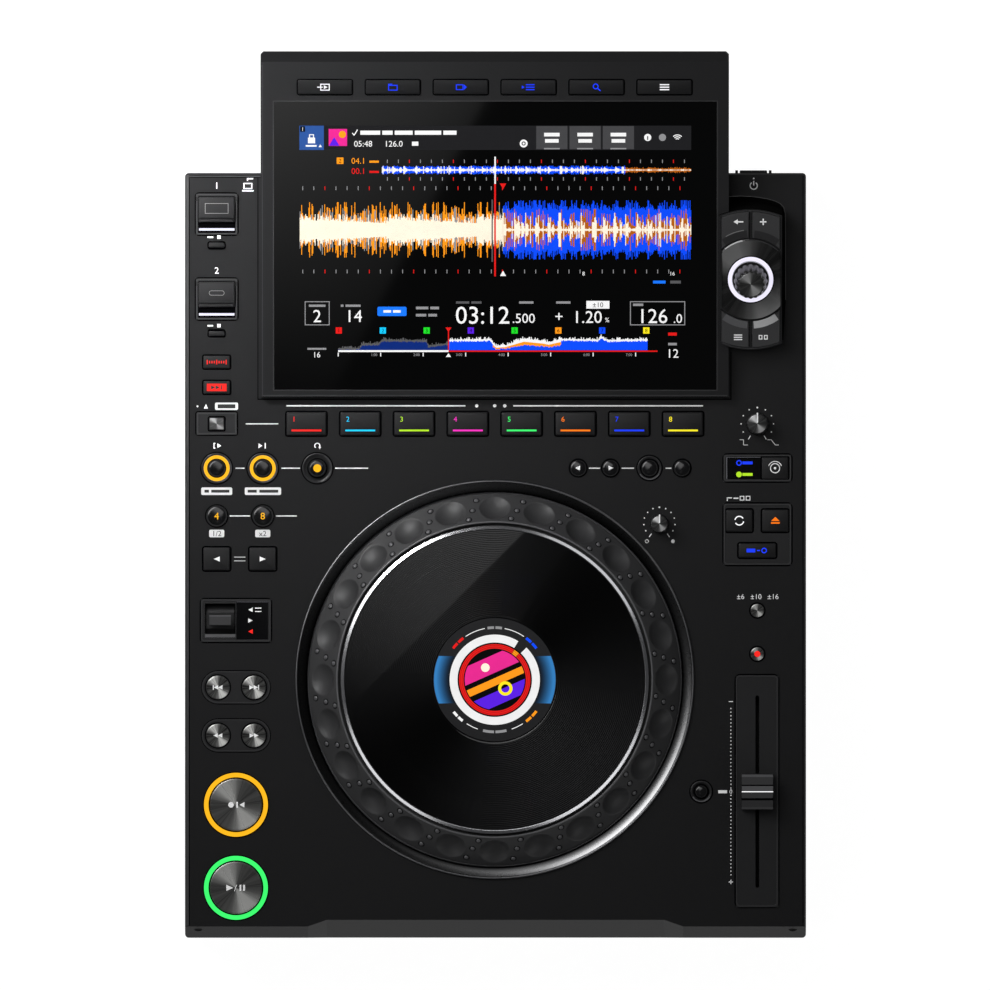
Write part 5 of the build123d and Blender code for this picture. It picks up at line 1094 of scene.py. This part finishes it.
# The hood's rear bevel, overlaid with a darker, duller sheet: painted shade
HOOD_REAR, HOOD_PEAK, BEVEL, FALL = 234.7, 118, 5.8, 8
edge = [(-122.1, 234.5), (121.1, 234.5), (122.9, 232.7), (122.9, 229), (-123.9, 229), (-123.9, 232.7)]
ink(HOOD_BEVEL_SHADE, [edge], lambda x, y: HOOD_PEAK - (y - HOOD_REAR + BEVEL) * FALL / BEVEL)


# ---- the selector's keys
def on_tower(material, polygons, rise, body="chassis", level=0):
    ink(material, polygons, tower(rise), body, lift=0.05 + 0.03 * level)


KEY_RISE, DISC_RISE = 0.9, 0.66  # the faces of the keys and the disc's rim, above the tower
# Lighter arcs on the disc's rim and on the front browse keys are painted highlights; darker arcs on the rear
# browse keys are painted shade
for rise, body, *arcs in (
        (KEY_RISE, "chassis", (LED_RING, 9.9, 12, 0, 360, 72), (GROOVE_AND_SHADE, 12.1, 12.6, 0, 360, 72)),
        (DISC_RISE, "chassis", (GREY_PRINT_AND_HIGHLIGHT, 20.55, 21.35, 102, 130, 24), (MARK_AND_HIGHLIGHT, 20.6, 21.3, 92, 102, 8),
         (MARK_AND_HIGHLIGHT, 20.6, 21.3, 130, 135, 4), (SOFT_HIGHLIGHT, 20.6, 21.1, 47, 98, 24)),
        (KEY_RISE, "browse_keys_front", (EDGE_HIGHLIGHT, 22.1, 25.9, 234.5, 266, 20), (BROWSE_HIGHLIGHT, 22.1, 25.9, 274, 305, 20)),
        (KEY_RISE, "browse_keys_rear", (BROWSE_SHADE, 22.1, 26, 94.5, 126, 20),
         (BROWSE_SHADE, 22.1, 26, 54, 85.5, 20))):
    for tone, *arc in arcs:
        on_tower(tone, ring(SX, SY, *arc), rise, body)
# A bright line on a rear browse key: a painted highlight
on_tower(MARK_AND_HIGHLIGHT, ring(SX, SY, 26, 26.5, 98, 120, 16), KEY_RISE, "browse_keys_rear", 1)
left, right, rear, front = SX - 6.6, SX + 6.6, SY + 30.5, SY - 30.5
on_tower(WHITE, arrow(left - 1.4, rear, 2.4, 2.8, "left") + bar(left + 1.2, rear, 3, 0.7)
         + bar(right, rear, 3.4, 0.7) + bar(right, rear, 0.7, 3.4), KEY_RISE, "browse_keys_rear", 1)
on_tower(WHITE, stack(left, front, 4.4, 0.6, 1.2, 0, -1.2) + outline(right - 1.3, front, 2, 2.4, 0.5)
         + outline(right + 1.5, front, 2, 2.4, 0.5), KEY_RISE, "browse_keys_front", 1)
# Lighter lines along the tower's bowed ends: painted highlights
for a, shift in ((90, -4.8), (270, 4.8)):
    on_tower(SOFT_HIGHLIGHT, ring(SX, SY + shift, 40.9, 41.4, a - 21.5, a + 21.5, 24), 0)

for (name, body), (material, verts, faces) in INKS.items():
    piece(f"print_{name}_{body}", verts, faces, material, body, "light", smooth=0)

# ---- floor, light and camera
floor_mesh = bpy.data.meshes.new("floor")
floor_mesh.from_pydata([(-4, -4, 0), (4, -4, 0), (4, 4, 0), (-4, 4, 0)], [], [(0, 1, 2, 3)])
floor = bpy.data.objects.new("floor", floor_mesh)
bpy.context.scene.collection.objects.link(floor)
floor_mesh.materials.append(glow("floor", (252, 252, 252), vary=0.004))

world = bpy.data.worlds.new("studio")
bpy.context.scene.world = world
world.use_nodes = True
sky = world.node_tree.nodes["Background"].inputs
sky[0].default_value = (0.95, 0.97, 1, 1)
sky[1].default_value = 0.06


def area(name, place, aim, size, power, roll=0):
    d = bpy.data.lights.new(name, "AREA")
    d.shape = "RECTANGLE"
    d.size, d.size_y = size
    d.energy = power
    o = bpy.data.objects.new(name, d)
    o.location = place
    turn = (Vector(aim) - Vector(place)).to_track_quat("-Z", "Y").to_matrix() @ Matrix.Rotation(roll, 3, "Z")
    o.rotation_euler = turn.to_euler()
    o.visible_camera = False
    bpy.context.scene.collection.objects.link(o)
    return d


def fade(light, across, along):
    """Lets a light fade over its face. across and along are its strengths at its two sides."""
    light.use_nodes = True
    t = light.node_tree
    part = node(t, "SeparateXYZ", {0: node(t, "NewGeometry", {})["Parametric"]})
    both = maths(t, "MULTIPLY", span(t, part[0], *across), span(t, part[1], *along), clamp=True)
    feed(t, t.nodes["Emission"], {"Strength": both})


WHEEL = Vector((JX * MM, JY * MM, 0.09))


def strip(name, azimuth, polar, width, power):
    """A soft strip of light, 1.4 m from the wheel and aimed at it."""
    a, p = radians(azimuth), radians(polar)
    area(name, WHEEL + 1.4 * Vector((sin(p) * cos(a), sin(p) * sin(a), cos(p))), WHEEL, (width, 0.3), power)


def overhead(name, x, y, z, size, power, roll):
    return area(name, (x, y, z), (x, y, 0), size, power, radians(roll))


area("key_light", (-0.75, 0.62, 1), (-0.05, 0, 0.08), (0.9, 0.9), 13)
area("corner_light", (-0.4, 0.44, 0.42), (-0.2, 0.22, 0.08), (0.25, 0.25), 0.75).spread = radians(40)
strip("strip_upper_right", 48, 58, 1, 1.4)
strip("strip_lower_left", 222, 58, 1, 1.8)
strip("strip_lower_right", 315, 62, 1.1, 2.6)
# A card overhead whose edge lies across the wheel, and one that the tilted glass mirrors
fade(overhead("sheen_light", -0.1336, 0.2538, 1.1, (0.6, 0.45), 1.35, -45), (1, 1), (0, 2.5))
fade(overhead("glass_light", -0.1037, -0.5518, 2, (0.12, 0.26), 0.12, -26), (1, 0.25), (0, 1))

cam = bpy.data.cameras.new("camera")
cam.lens = 1200
cam.sensor_width = 36
cam.clip_end = 60
camera = bpy.data.objects.new("camera", cam)
camera.location = (-0.000265, 0, 17.563)
bpy.context.scene.collection.objects.link(camera)
bpy.context.scene.camera = camera
bpy.context.scene.view_settings.view_transform = "Standard"
